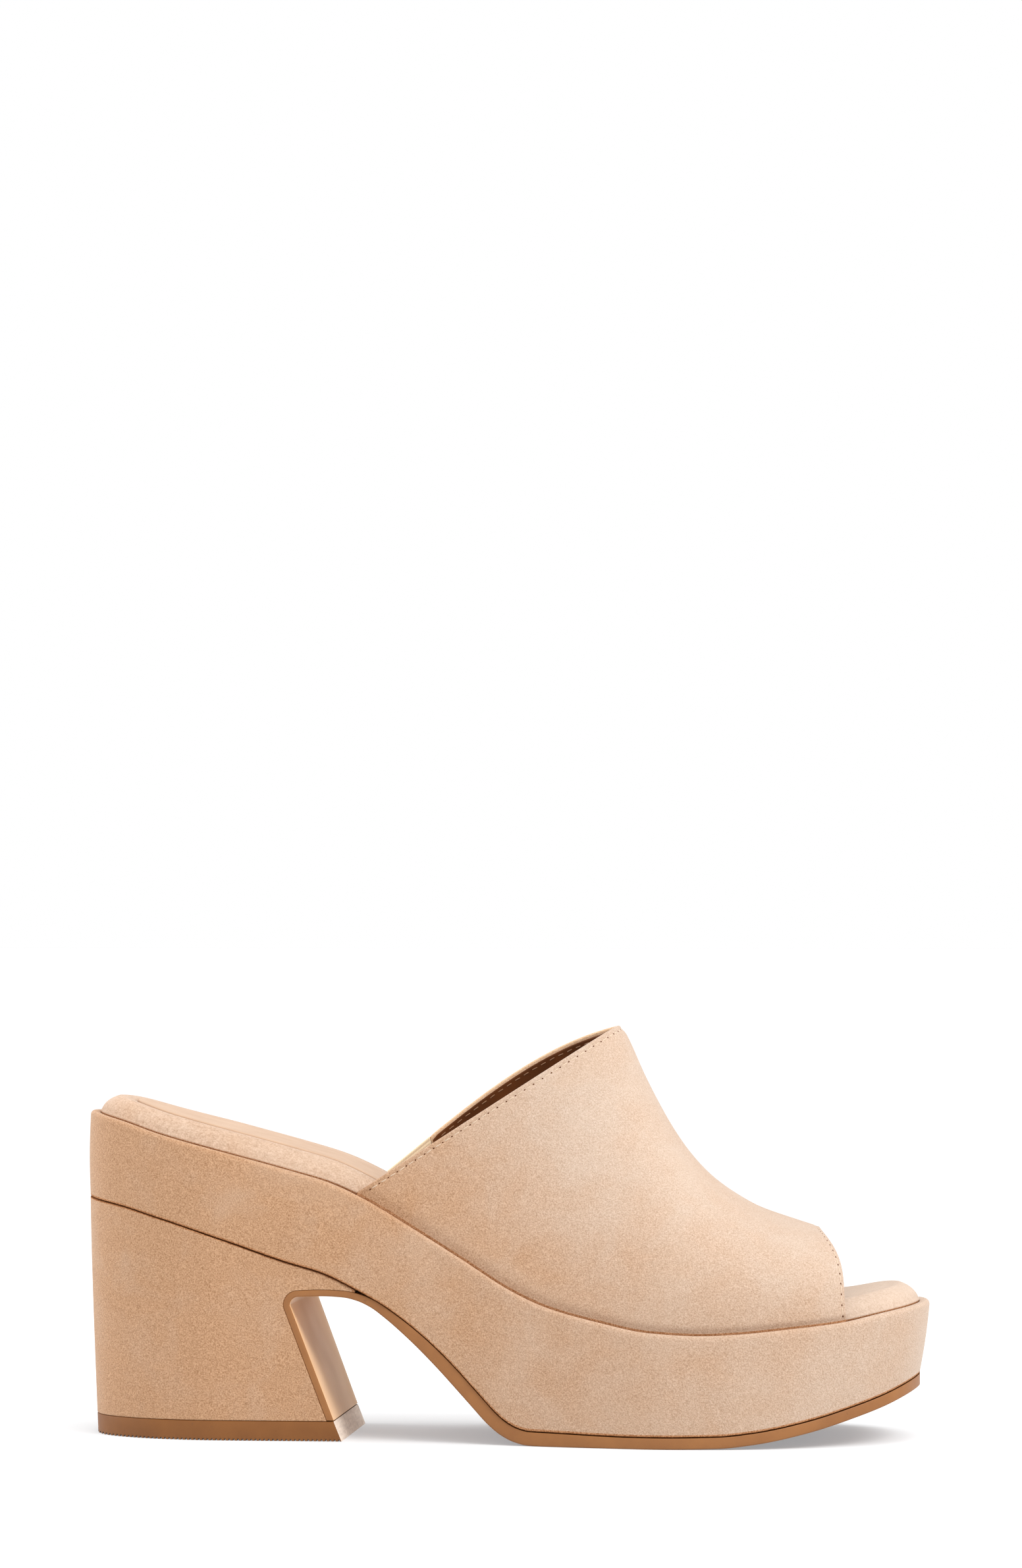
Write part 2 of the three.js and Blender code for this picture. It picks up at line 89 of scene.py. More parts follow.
# Pieces round the foot
PAD_RISE = 5.8
PAD_ROLL = 6
PAD_LEDGE = 3.1
PAD_SINK = 1
PAD_TURN = 14
PAD_LEAD = 18
SOCK_MARGIN = 10.4
SOCK_THICKNESS = 0.9
SOCK_FRONT = 134
UPPER_WALL = 2
SUEDE_WALL = 1.2
UPPER_LEDGE = 2.2
COLLAR_RISE = 24.8
COLLAR_TOP = 154.9
COLLAR_FOOT = 81.5
COLLAR_FOOT_MEDIAL = 80
FRONT_TOP = 213.5
FRONT_FOOT = 222.4
FRONT_FOOT_MEDIAL = 215.8
FRONT_RISE = 28.1
MEDIAL_BOW = 5
FRONT_BOW = 3.5
FRONT_BOW_MEDIAL = -0.8
FRONT_SKEW = 3
BOW_PEAK = 1.3
SIDE_SWELL = 1.2
GORE_TOP = 96.5
GORE_FOOT = 106
GORE_SPREAD = 24
GORE_WALL = 1.2

# Rough lengths of the upper's band, to space its points and ease its edges
BAND_GIRTH = 220
BAND_RUN = 115
BAND_SIDE = 70

# Clearance between the solids, and how much of it the hidden faces take up
GAP = 0.3
SEAT = 0.27

# Sewing
STITCH_PITCH = 3.1
COLLAR_MARGIN = 1.6
FRONT_MARGIN = 1.15
SEWN_DEPTH = 0.2
THREAD = 0.16
THREAD_SUNK = 0.3
THREAD_PROUD = 0.03
STITCH_GAP = 0.26 * STITCH_PITCH
HOLE = 0.27
HOLE_LIFT = 0.05

BACK_X = -LENGTH / 2


def monotone(at, values):
    """A function on a smooth curve through the values that never overshoots."""
    at = np.asarray(at, float)
    values = np.asarray(values, float)
    step = np.diff(at)
    slope = np.diff(values) / step
    tangent = np.zeros(len(values))
    tangent[0] = slope[0]
    tangent[-1] = slope[-1]
    for i in range(1, len(values) - 1):
        if slope[i - 1] * slope[i] > 0:
            a = 2 * step[i] + step[i - 1]
            b = step[i] + 2 * step[i - 1]
            tangent[i] = (a + b) / (a / slope[i - 1] + b / slope[i])

    def value(place):
        x = np.clip(place, at[0], at[-1])
        k = np.clip(np.searchsorted(at, x, side="left") - 1, 0, len(step) - 1)
        t = (x - at[k]) / step[k]
        rest = 1 - t
        return (
            values[k] * rest * rest * (1 + 2 * t)
            + values[k + 1] * t * t * (3 - 2 * t)
            + tangent[k] * step[k] * t * rest * rest
            - tangent[k + 1] * step[k] * t * t * rest
        )

    return value


def angle_of(share):
    return np.arccos(1 - 2 * np.clip(share, 0, 1)) / math.pi


# Platform outline from above: shares of the length and, on each side, of the ball width
OUTLINE_AT = [0, 0.02, 0.05, 0.10, 0.17, 0.30, 0.42, 0.52, 0.62, 0.70, 0.75, 0.82, 0.90, 0.95, 0.98, 1]
OUTLINE_LATERAL = [
    0, 0.175, 0.25, 0.315, 0.347, 0.345, 0.36, 0.41, 0.47, 0.5, 0.494, 0.465, 0.388, 0.305, 0.215, 0,
]
OUTLINE_MEDIAL = [
    0, 0.175, 0.25, 0.315, 0.347, 0.335, 0.325, 0.36, 0.44, 0.49, 0.5, 0.492, 0.435, 0.362, 0.265, 0,
]
lateral_width = monotone(angle_of(OUTLINE_AT), OUTLINE_LATERAL)
medial_width = monotone(angle_of(OUTLINE_AT), OUTLINE_MEDIAL)

# Platform rim from the side: share of the drop to the ball, share of the lift at the toe
RIM_AT = [0, 0.05, 0.10, 0.18, 0.26, 0.30, 0.34, 0.40, 0.46, 0.52, 0.56, 0.62, 0.68, 0.74, 1]
RIM_CLIMB = [1, 0.955, 0.895, 0.812, 0.727, 0.68, 0.61, 0.472, 0.328, 0.186, 0.118, 0.057, 0.012, 0, 0]
TOE_AT = [0, 0.74, 0.78, 0.84, 0.90, 0.95, 1]
TOE_LIFT = [0, 0, 0.05, 0.22, 0.42, 0.73, 1]
rim_climb = monotone(RIM_AT, RIM_CLIMB)
rim_lift = monotone(TOE_AT, TOE_LIFT)
seam_depth = monotone([0, 0.10, 0.18, 0.26, 0.40], [0.96, 0.92, 0.96, 1.01, 1.01])

# Underside of the outsole: share of the arch's span and height, share of the toe spring
ARCH_AT = [
    0, 0.104, 0.19, 0.245, 0.3, 0.353, 0.463, 0.571, 0.681, 0.737, 0.791, 0.847, 0.901, 0.956, 1,
]
ARCH_RISE = [
    0.995, 1, 0.992, 0.97, 0.928, 0.866, 0.71, 0.533, 0.338, 0.238, 0.144, 0.07, 0.026, 0.004, 0,
]
arch_rise = monotone(ARCH_AT, ARCH_RISE)
spring_lift = monotone(
    [0.55, 0.69, 0.76, 0.8, 0.86, 0.92, 0.95, 0.98, 1],
    [0, 0, 0.018, 0.08, 0.26, 0.53, 0.69, 0.89, 1.03],
)
sole_is_thin = monotone([0, 0.31, 0.45, 1], [1, 1, 0, 0])
sole_is_waist = monotone([0, 0.31, 0.45, 0.54, 0.66, 1], [0, 0, 1, 1, 0, 0])
draft_share = monotone([0, 0.4, 0.6, 0.8, 0.93, 1], [0, 0, 0.25, 0.45, 0.8, 1])

# Rolled edge of the footbed: inward share of the roll, upward share of the rise
roll_up = monotone([0, 0.06, 0.22, 0.52, 1, 1.58], [0, 0.2, 0.47, 0.76, 1, 0.96])

# Ridge of the upper from collar to front edge
RIDGE_AT = [0, 0.04, 0.1, 0.2, 0.3, 0.4, 0.5, 0.6, 0.7, 0.8, 0.9, 1]
RIDGE_ALONG = [0, 0.037, 0.063, 0.127, 0.196, 0.27, 0.357, 0.46, 0.582, 0.717, 0.861, 1]
RIDGE_DROP = [0, 0.046, 0.098, 0.242, 0.379, 0.51, 0.635, 0.745, 0.835, 0.906, 0.956, 1]
RIDGE_SIDE = [0.02, 0.021, 0.022, 0.024, 0.026, 0.03, 0.034, 0.038, 0.042, 0.046, 0.05, 0.052]
RIDGE_SQUARE = [2.3, 2.29, 2.28, 2.26, 2.26, 2.28, 2.3, 2.33, 2.37, 2.42, 2.48, 2.55]
ridge_along = monotone(RIDGE_AT, RIDGE_ALONG)
ridge_drop = monotone(RIDGE_AT, RIDGE_DROP)
ridge_side = monotone(RIDGE_AT, RIDGE_SIDE)
ridge_square = monotone(RIDGE_AT, RIDGE_SQUARE)


def share_at(x):
    return (np.asarray(x, float) - BACK_X) / LENGTH


def mix(a, b, t):
    return a + (b - a) * t


def ease(t):
    t = np.clip(t, 0, 1)
    return t * t * (3 - 2 * t)


def round_off(distance, radius):
    """How far a rounded edge draws back at a distance in from the edge."""
    near = np.clip(radius - distance, 0, radius)
    return radius - np.sqrt(np.maximum(radius * radius - near * near, 0))


def unit(vectors):
    return vectors / np.linalg.norm(vectors, axis=-1, keepdims=True)


def run_along(points):
    """Length along a line of points, from its first."""
    return np.concatenate([[0], np.cumsum(np.linalg.norm(np.diff(points, axis=0), axis=1))])


def quarter(steps):
    """Angles over a quarter of a turn."""
    return np.linspace(0, math.pi / 2, steps)


def half_width(x, on_medial):
    angle = angle_of(share_at(x))
    return np.where(on_medial, medial_width(angle), lateral_width(angle)) * BALL_WIDTH


def rim(x):
    s = share_at(x)
    return BALL_RISE + (HEEL_RISE - BALL_RISE) * rim_climb(s) + TOE_RIM_LIFT * rim_lift(s)


def free_seam(x):
    return rim(x) - PLATFORM_REAR * seam_depth(share_at(x))


COLLAR_FOOT_X = BACK_X + COLLAR_FOOT
FRONT_FOOT_X = BACK_X + FRONT_FOOT
BREAST_X = BACK_X + BREAST_REACH
ARCH_START_X = BREAST_X - BREAST_LEAN
ARCH_X = ARCH_START_X + BREAST_CORNER
ARCH_TOP_X = ARCH_X + ARCH_SPAN * ARCH_AT[1]
ARCH_RISE_MM = float(free_seam(ARCH_TOP_X)) - NOSE_DEPTH - SOLE_THIN
NOSE_MEET_X = BACK_X + NOSE_MEET
NOSE_TIP_X = BACK_X + NOSE_TIP
CORNER_Z = ARCH_RISE_MM * ARCH_RISE[0] - BREAST_CORNER


def underside(x):
    arch = ARCH_RISE_MM * arch_rise((np.asarray(x, float) - ARCH_X) / ARCH_SPAN)
    return arch + TOE_SPRING * spring_lift(share_at(x))


def sole_thickness(x):
    thin = sole_is_thin(share_at(x))
    waist = sole_is_waist(share_at(x))
    return SOLE_THIN * thin + SOLE_WAIST * waist + SOLE_THICKNESS * (1 - thin - waist)


def air_path(step):
    """The outsole's underside from the top-lift up the breast and over the arch."""
    start = TOP_LIFT_HEIGHT + GAP
    z = np.arange(start, CORNER_Z, step)
    breast = np.stack([BREAST_X - BREAST_LEAN * z / CORNER_Z, z], 1)
    turn = quarter(9)
    corner_x = ARCH_START_X + BREAST_CORNER * (1 - np.cos(turn))
    corner = np.stack([corner_x, CORNER_Z + BREAST_CORNER * np.sin(turn)], 1)
    x = np.arange(ARCH_X + step, ARCH_X + ARCH_SPAN, step)
    arch = np.stack([x, underside(x)], 1)
    return np.concatenate([breast, corner, arch])


def inner_path(path, extra=0.0):
    """The same path at the sheet's thickness, on the foot's side."""
    along = unit(np.gradient(path, axis=0))
    thick = sole_thickness(path[:, 0]) + extra
    inner = path + np.stack([-along[:, 1], along[:, 0]], 1) * thick[:, None]
    inner[0] = [path[0, 0] - thick[0] / along[0, 1], path[0, 1]]
    return inner


fine_air = air_path(0.8)
fine_inner = inner_path(fine_air)
past_breast = np.arange(len(fine_air)) > np.argmax(fine_air[:, 1] > CORNER_Z)
over_arch = past_breast & (fine_air[:, 0] > ARCH_X)


def inner_top(x):
    ahead = underside(x) + sole_thickness(x)
    table = fine_inner[over_arch]
    behind = np.interp(x, table[:, 0], table[:, 1])
    return np.where(np.asarray(x) <= table[-1, 0], behind, ahead)


def platform_foot(x):
    blend_x = ARCH_TOP_X - NOSE_DEPTH
    blend = np.clip((x - blend_x) / (NOSE_MEET_X - blend_x), 0, 1) ** 3
    return mix(free_seam(x), inner_top(x) + GAP, blend)


def draft(x):
    return TOE_DRAFT * draft_share(share_at(x))


def taper(z):
    return HEEL_TAPER * (1 - np.clip(z / (HEEL_RISE - PLATFORM_REAR), 0, 1)) ** TAPER_POWER


def outline_points(angle, on_medial):
    """Plan points of the outline, from the heel at angle 0 to the toe at 1."""
    share = (1 - np.cos(math.pi * angle)) / 2
    half = np.where(on_medial, medial_width(angle), -lateral_width(angle))
    return np.stack([BACK_X + share * LENGTH, half * BALL_WIDTH], 1)


def plan_ring(inset, steps=220):
    """Plan points, lateral side first, drawn in along the outline's normal."""
    k = np.arange(2 * steps)
    ring = outline_points(np.where(k <= steps, k / steps, 2 - k / steps), k > steps)
    along = unit(np.roll(ring, -1, 0) - np.roll(ring, 1, 0))
    inward = np.stack([-along[:, 1], along[:, 0]], 1)
    amount = inset(ring[:, 0]) if callable(inset) else np.full(len(ring), inset)
    return ring + inward * amount[:, None]


def sides_at(ring, x):
    """Where a plan ring's lateral and medial sides lie, in Y, at places along it."""
    steps = len(ring) // 2
    near = ring[: steps + 1]
    far = np.vstack([ring[steps:], ring[:1]])[::-1]
    return np.interp(x, near[:, 0], near[:, 1]), np.interp(x, far[:, 0], far[:, 1])


def paired_ring(plan, x, z, tip):
    """A ring with its points at the same places on both sides, nearly closed at the back."""
    lateral, medial = sides_at(plan, x)
    lateral[0] = -tip
    medial[0] = tip
    return np.vstack([np.column_stack([x, lateral, z])[::-1], np.column_stack([x, medial, z])])


def ring_length(ring):
    return run_along(np.vstack([ring, ring[:1]]))[:-1]


def level(ring, height):
    return np.column_stack([ring, height(ring[:, 0])])


# Making meshes

def add_object(name, data):
    obj = bpy.data.objects.new(name, data)
    bpy.context.scene.collection.objects.link(obj)
    return obj


def piece(name, points, faces, material, smooth_angle=40):
    """A mesh object from points in millimetres."""
    mesh = bpy.data.meshes.new(name)
    mesh.from_pydata((np.asarray(points, float) * MM).tolist(), [], [list(f) for f in faces])
    shape = bmesh.new()
    shape.from_mesh(mesh)
    bmesh.ops.recalc_face_normals(shape, faces=shape.faces)
    shape.to_mesh(mesh)
    shape.free()
    mesh.materials.append(material)
    obj = add_object(name, mesh)
    mesh.shade_smooth()
    mesh.set_sharp_from_angle(angle=math.radians(smooth_angle))
    return obj


def wall_faces(rows, count, start=0):
    """Faces between closed rings of points that follow each other."""
    k = np.arange(count)
    after = (k + 1) % count
    faces = []
    for low in range(start, start + (rows - 1) * count, count):
        high = low + count
        faces += np.column_stack([low + k, low + after, high + after, high + k]).tolist()
    return faces


def tube_faces(rows, count, start=0):
    """Faces of a stack of closed rings, with one face over each end."""
    first = list(range(start, start + count))
    last = [point + (rows - 1) * count for point in first]
    return wall_faces(rows, count, start) + [first[::-1], last]


def stack_faces(rows, count):
    """Faces of a stack of closed rings, with each end closed by strips across it."""
    faces = wall_faces(rows, count)
    for start, flip in ((0, True), ((rows - 1) * count, False)):
        for a in range(count // 2):
            ids = [start + a, start + a + 1, start + count - a - 1, start + (count - a) % count]
            unique = list(dict.fromkeys(ids))
            if len(unique) > 2:
                faces.append(unique[::-1] if flip else unique)
    return faces


def ring_piece(name, rings, material, **options):
    points = np.concatenate(rings)
    return piece(name, points, stack_faces(len(rings), len(rings[0])), material, **options)


def paint(obj, material, chosen):
    """Gives the faces that a test picks another material."""
    obj.data.materials.append(material)
    slot = len(obj.data.materials) - 1
    for polygon in obj.data.polygons:
        if chosen(polygon):
            polygon.material_index = slot


def settle(obj, slot, *nodes):
    """The piece rides on the shoe and stands for the CAD nodes, which it hides. slot is not used."""
    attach(obj, "root")
    if nodes:
        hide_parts(*nodes)
    return obj


# Materials

def srgb(red, green, blue):
    """A colour given as 0 to 255 screen values."""
    def linear(value):
        value /= 255
        return value / 12.92 if value <= 0.04045 else ((value + 0.055) / 1.055) ** 2.4

    return (linear(red), linear(green), linear(blue), 1)


class Finish:
    """A node material with one Principled shader."""

    def __init__(self, name, roughness, **sockets):
        self.material = bpy.data.materials.new(name)
        self.material.use_nodes = True
        self.tree = self.material.node_tree
        self.link = self.tree.links.new
        self.shader = self.tree.nodes["Principled BSDF"]
        self.shader.inputs["Roughness"].default_value = roughness
        for socket, value in sockets.items():
            self.shader.inputs[socket.replace("_", " ")].default_value = value
        self.place = self.add("ShaderNodeTexCoord").outputs["Object"]

    def add(self, kind, links=None, **settings):
        node = self.tree.nodes.new(kind)
        for key, value in settings.items():
            if key in node.inputs:
                node.inputs[key].default_value = value
            else:
                setattr(node, key, value)
        for socket, source in (links or {}).items():
            self.link(source, node.inputs[socket])
        return node

    def noise(self, size_mm, detail=2.0, rough=0.5, distort=0.0, stretch=(1, 1, 1)):
        mapped = self.add("ShaderNodeMapping", {"Vector": self.place}, Scale=stretch)
        return self.add(
            "ShaderNodeTexNoise",
            {"Vector": mapped.outputs["Vector"]},
            Scale=1 / (size_mm * MM),
            Detail=detail,
            Roughness=rough,
            Distortion=distort,
        ).outputs["Fac"]

    def band(self, source, low, high):
        """Stretches the part of a noise between low and high to 0 to 1."""
        limits = {"From Min": low, "From Max": high}
        return self.add("ShaderNodeMapRange", {"Value": source}, **limits).outputs["Result"]

    def feed(self, sockets, values):
        """Sets each socket to its value, or links it to another node."""
        for socket, value in zip(sockets, values):
            if isinstance(value, (int, float, tuple)):
                socket.default_value = value
            else:
                self.link(value, socket)

    def math(self, kind, a, b):
        node = self.add("ShaderNodeMath", operation=kind)
        self.feed(node.inputs, (a, b))
        return node.outputs[0]

    def times(self, a, b):
        return self.math("MULTIPLY", a, b)

    def plus(self, a, b):
        return self.math("ADD", a, b)

    def blend(self, factor, first, second, kind="MIX"):
        node = self.add("ShaderNodeMix", data_type="RGBA", blend_type=kind)
        self.feed([node.inputs[k] for k in (0, 6, 7)], (factor, first, second))
        return node.outputs[2]

    def gain(self, value):
        """A factor near 1 for each channel, strongest in blue, as flecks lose their hue."""
        node = self.add("ShaderNodeCombineColor")
        for channel, share in (("Red", 0.88), ("Green", 1.06), ("Blue", 1.28)):
            factor = self.plus(self.times(value, share), 1.0)
            self.link(factor, node.inputs[channel])
        return node.outputs["Color"]

    def colour(self, source):
        self.link(source, self.shader.inputs["Base Color"])

    def roughness(self, source, low, high):
        node = self.add("ShaderNodeMapRange", {"Value": source}, **{"To Min": low, "To Max": high})
        self.link(node.outputs["Result"], self.shader.inputs["Roughness"])

    def bump(self, source, strength, depth_mm):
        links = {"Height": source}
        normal = self.shader.inputs["Normal"]
        if normal.links:
            links["Normal"] = normal.links[0].from_socket
        node = self.add("ShaderNodeBump", links, Strength=strength, Distance=depth_mm * MM)
        self.link(node.outputs["Normal"], normal)


def suede(name, nap_mm=0.4, fleck=0.68, curls=0.1, paler=0.0):
    """Short napped suede: fine flecks, a soft cloudiness and a few rubbed patches. Its colour
    carries painted shade and light: warmer and deeper at the heel as painted shade, and paler
    towards the toe and up the vamp as painted light; paler shifts the piece towards the lit tone."""
    sheen = {"Sheen_Weight": 0.3, "Sheen_Roughness": 0.4, "Sheen_Tint": (1.0, 0.92, 0.84, 1)}
    finish = Finish(name, 0.9, Specular_IOR_Level=0.1, **sheen)
    spot = finish.add("ShaderNodeSeparateXYZ", {"Vector": finish.place})
    x, z = spot.outputs["X"], spot.outputs["Z"]
    # Painted light and shade: the raised parts, the vamp and the toe take the lit tone, and the heel
    # keeps the shaded tone.
    raised = finish.band(finish.plus(z, finish.times(x, 0.45)), 0.03, 0.095)
    lit_up_vamp = finish.times(finish.times(finish.band(x, -0.045, 0.02), raised), 0.92)
    lit_towards_toe = finish.times(finish.band(x, -0.06, 0.115), 0.8)
    cloud = finish.band(finish.noise(15, detail=3, rough=0.55, distort=0.4), 0.3, 0.7)
    drift = finish.times(finish.plus(cloud, -0.5), 0.3)
    place = finish.plus(finish.plus(finish.math("MAXIMUM", lit_towards_toe, lit_up_vamp), drift), paler)
    tone = finish.blend(place, SHADED_SUEDE, LIT_SUEDE)
    hair = finish.noise(nap_mm, detail=3, rough=0.62, distort=0.3)
    curl = finish.noise(nap_mm * 2.4, detail=2, rough=0.6, distort=0.9)
    pile = finish.plus(finish.times(hair, 1 - curls), finish.times(curl, curls))
    quiet = finish.plus(finish.times(place, -0.45), 1.0)
    lift = finish.times(finish.plus(finish.band(pile, 0.33, 0.67), -0.5), finish.times(quiet, fleck))
    tone = finish.blend(1.0, tone, finish.gain(lift), kind="MULTIPLY")
    rub = finish.band(finish.noise(30, detail=3, rough=0.6, distort=0.8), 0.54, 0.72)
    finish.colour(finish.blend(finish.times(rub, 0.22), tone, RUBBED_SUEDE))
    finish.bump(pile, 0.8, 0.3)
    finish.bump(cloud, 0.25, 0.25)
    return finish.material


def ragged_edge_paint(name, deep, light):
    """Two tones, ragged where the nap breaks over them: in the seams the brown of turned suede edges
    with painted shade, in the needle holes painted shade, on the folded collar edge painted light.
    """
    finish = Finish(name, 0.95, Specular_IOR_Level=0.02)
    ragged = finish.band(finish.noise(0.4, detail=3, rough=0.65), 0.38, 0.62)
    finish.colour(finish.blend(ragged, srgb(*deep), srgb(*light)))
    finish.bump(ragged, 0.5, 0.1)
    return finish.material


def rubber(name, tone, worn, roughness):
    """Moulded rubber with a faint grain, specks and a soft unevenness."""
    finish = Finish(name, roughness, Specular_IOR_Level=0.4)
    cloud = finish.noise(9, detail=4, rough=0.55)
    tint = finish.blend(finish.band(cloud, 0.35, 0.7), srgb(*tone), srgb(*worn))
    speck = finish.band(finish.noise(1.7, detail=2, rough=0.7), 0.68, 0.76)
    finish.colour(finish.blend(finish.times(speck, 0.35), tint, srgb(96, 60, 34)))
    finish.roughness(cloud, roughness - 0.07, roughness + 0.1)
    finish.bump(finish.noise(0.5, detail=3, rough=0.6), 0.25, 0.05)
    return finish.material


def cut_rubber(name):
    """The sawn front of the top-lift, greyer and streaked."""
    finish = Finish(name, 0.7, Specular_IOR_Level=0.3)
    streak = finish.noise(0.9, detail=4, rough=0.65, stretch=(1, 0.12, 1))
    stain = finish.band(finish.noise(3.5, detail=4, rough=0.6, distort=0.6), 0.5, 0.75)
    tint = finish.blend(finish.band(streak, 0.35, 0.68), srgb(224, 206, 190), srgb(246, 230, 214))
    finish.colour(finish.blend(finish.times(stain, 0.4), tint, srgb(150, 126, 108)))
    finish.bump(streak, 0.4, 0.08)
    return finish.material


def breast_face(name):
    """The smooth pale face of the outsole where it climbs the heel."""
    finish = Finish(name, 0.5, Specular_IOR_Level=0.35)
    streak = finish.noise(16, detail=2, rough=0.4)
    tint = finish.blend(finish.band(streak, 0.32, 0.7), srgb(230, 187, 142), srgb(220, 176, 131))
    finish.colour(tint)
    finish.roughness(streak, 0.45, 0.62)
    finish.bump(finish.noise(0.4, detail=2), 0.12, 0.04)
    return finish.material


def lining_leather(name, tone, crease, shine=0.4):
    """Thin lining leather with fine pores."""
    finish = Finish(name, 0.55, Specular_IOR_Level=shine)
    cloud = finish.noise(11, detail=4, rough=0.6)
    finish.colour(finish.blend(finish.band(cloud, 0.3, 0.72), srgb(*tone), srgb(*crease)))
    grain = finish.add(
        "ShaderNodeTexVoronoi", {"Vector": finish.place}, Scale=1 / (0.55 * MM), feature="SMOOTH_F1"
    ).outputs["Distance"]
    finish.roughness(cloud, 0.46, 0.62)
    finish.bump(grain, 0.22, 0.07)
    finish.bump(cloud, 0.2, 0.2)
    return finish.material


def elastic_web(name):
    """Cream elastic, its fine weft crossing the raised ribs."""
    finish = Finish(name, 0.82, Sheen_Weight=0.3, Sheen_Roughness=0.5, Specular_IOR_Level=0.2)
    wave = {"bands_direction": "X", "Scale": 0.314 / (0.5 * MM), "Distortion": 0.8}
    weft = finish.add("ShaderNodeTexWave", {"Vector": finish.place}, **wave).outputs["Fac"]
    finish.colour(finish.blend(weft, srgb(222, 197, 162), srgb(232, 211, 180)))
    finish.bump(weft, 0.25, 0.06)
    return finish.material


def thread_finish(name, tone):
    finish = Finish(name, 0.6, Sheen_Weight=0.3, Specular_IOR_Level=0.35)
    ply = finish.noise(0.35, detail=2, rough=0.5, stretch=(1, 1, 0.5))
    shade = tuple(value * 0.8 for value in tone)
    finish.colour(finish.blend(ply, srgb(*shade), srgb(*tone)))
    finish.bump(ply, 0.5, 0.08)
    return finish.material


# Shaded and lit tones of one suede, blended as painted shade at the heel and painted light at the toe
# and vamp; the rubbed tone is the colour of worn patches.
SHADED_SUEDE = srgb(175, 136, 104)
LIT_SUEDE = srgb(186, 164, 146)
RUBBED_SUEDE = srgb(188, 161, 138)
SUEDE = suede("suede")
PAD_SUEDE = suede("footbed_suede", nap_mm=0.5, fleck=0.75, curls=0.4, paler=0.6)
SOLE = rubber("sole_rubber", (143, 93, 47), (132, 84, 42), 0.5)
LIFT = rubber("lift_rubber", (124, 75, 26), (115, 68, 23), 0.55)
LIFT_CUT = cut_rubber("lift_cut")
BREAST = breast_face("breast_face")
SOCK = lining_leather("sock_leather", (188, 157, 130), (178, 147, 121))
# The lining's tone is partly its own brown and partly painted shade: darker than the medium brown
# leather, as the shoe's inside falls in shade.
LINING = lining_leather("lining_leather", (98, 52, 18), (78, 40, 12), shine=0.12)
ELASTIC = elastic_web("elastic_web")
THREAD_PALE = thread_finish("thread_pale", (222, 196, 169))
THREAD_BROWN = thread_finish("thread_brown", (150, 106, 70))
# Painted shade for the needle holes.
HOLE_SHADE = ragged_edge_paint("hole_shade", (70, 38, 20), (98, 58, 34))
# Painted shade along the joints between pieces, partly the brown of the turned suede edges: darkest in
# the joint, paler beside it.
DARK_JOINT_AND_SHADE = ragged_edge_paint("dark_joint_and_shade", (112, 68, 38), (150, 100, 64))
EDGE_BROWN_AND_SHADE = ragged_edge_paint("ragged_edge_paint", (140, 92, 58), (186, 140, 104))
# Painted light: a pale warm tone for the folded edge inside the collar, which lies in shade.
FOLDED_EDGE_LIT = ragged_edge_paint("folded_edge_lit", (208, 170, 134), (230, 198, 166))


# Pieces under the foot

def wavering(length):
    """An uneven line, between about -1 and 1, along a cut or sewn edge."""
    waves = ((1.7, 0.3), (2.9, 1.9), (5.3, 0.7), (11.0, 2.6))
    return sum(np.sin(2 * math.pi * length / pitch + phase) for pitch, phase in waves) / 3


def groove(x):
    """How far in from the outline the upper, or past it the footbed, leaves the rim."""
    under_upper = ease((x - COLLAR_FOOT_X + 3) / 6) * ease((FRONT_FOOT_X + 3 - x) / 6)
    return mix(PAD_LEDGE, UPPER_LEDGE, under_upper)


def platform():
    """The wrapped midsole. Its rim is folded over, and its hidden faces close the gaps."""
    hem = 0.3
    rings = []

    def add(inset, height):
        rings.append(level(plan_ring(inset), height))

    add(lambda x: draft(x) + 1.6, lambda x: platform_foot(x) - SEAT)
    for turn in quarter(6):
        draw = hem * (1 - math.sin(turn))
        lift = hem * (1 - math.cos(turn))
        add(lambda x: draft(x) + draw, lambda x: platform_foot(x) + lift)
        fray = 0.05 * wavering(ring_length(rings[-1][:, :2]))
        rings[-1][:, 2] += fray * (1 - turn / 3)
    for w in np.concatenate([[0.012], np.linspace(0, 1, 16)[1:-1]]):
        swell = 0.3 * math.sin(math.pi * w)
        wall = lambda x: mix(platform_foot(x) + hem, rim(x) - FOLD_RISE, w)
        add(lambda x: draft(x) * (1 - w) - swell, wall)
    for turn in quarter(8):
        draw = FOLD_SHARE * (1 - math.cos(turn))
        drop = FOLD_RISE * (1 - math.sin(turn))
        add(lambda x: groove(x) * draw, lambda x: rim(x) - drop)
    for turn in quarter(5):
        draw = FOLD_LIP * (1 - math.sin(turn)) + 0.1
        drop = FOLD_LIP * (1 - math.cos(turn)) + 0.08
        add(lambda x: groove(x) - draw, lambda x: rim(x) - drop)
    for inset in (-0.08, 1.2):
        add(lambda x: groove(x) + inset, lambda x: rim(x) - GROOVE_DEPTH)
    obj = ring_piece("platform_wrap", rings, SUEDE)
    count = len(rings[0])
    last = len(rings) - 2
    # Painted shade with the joint's brown: the hem rows where the wrap meets the heel and outsole, and
    # the groove floor inside the rim, each with a paler band beside it.
    paint(obj, DARK_JOINT_AND_SHADE, lambda p: p.index // count in (0, 1, 2, 3, 4, last))
    paint(obj, EDGE_BROWN_AND_SHADE, lambda p: p.index // count in (5, 6, last - 1))
    return settle(obj, "suede", "platform")


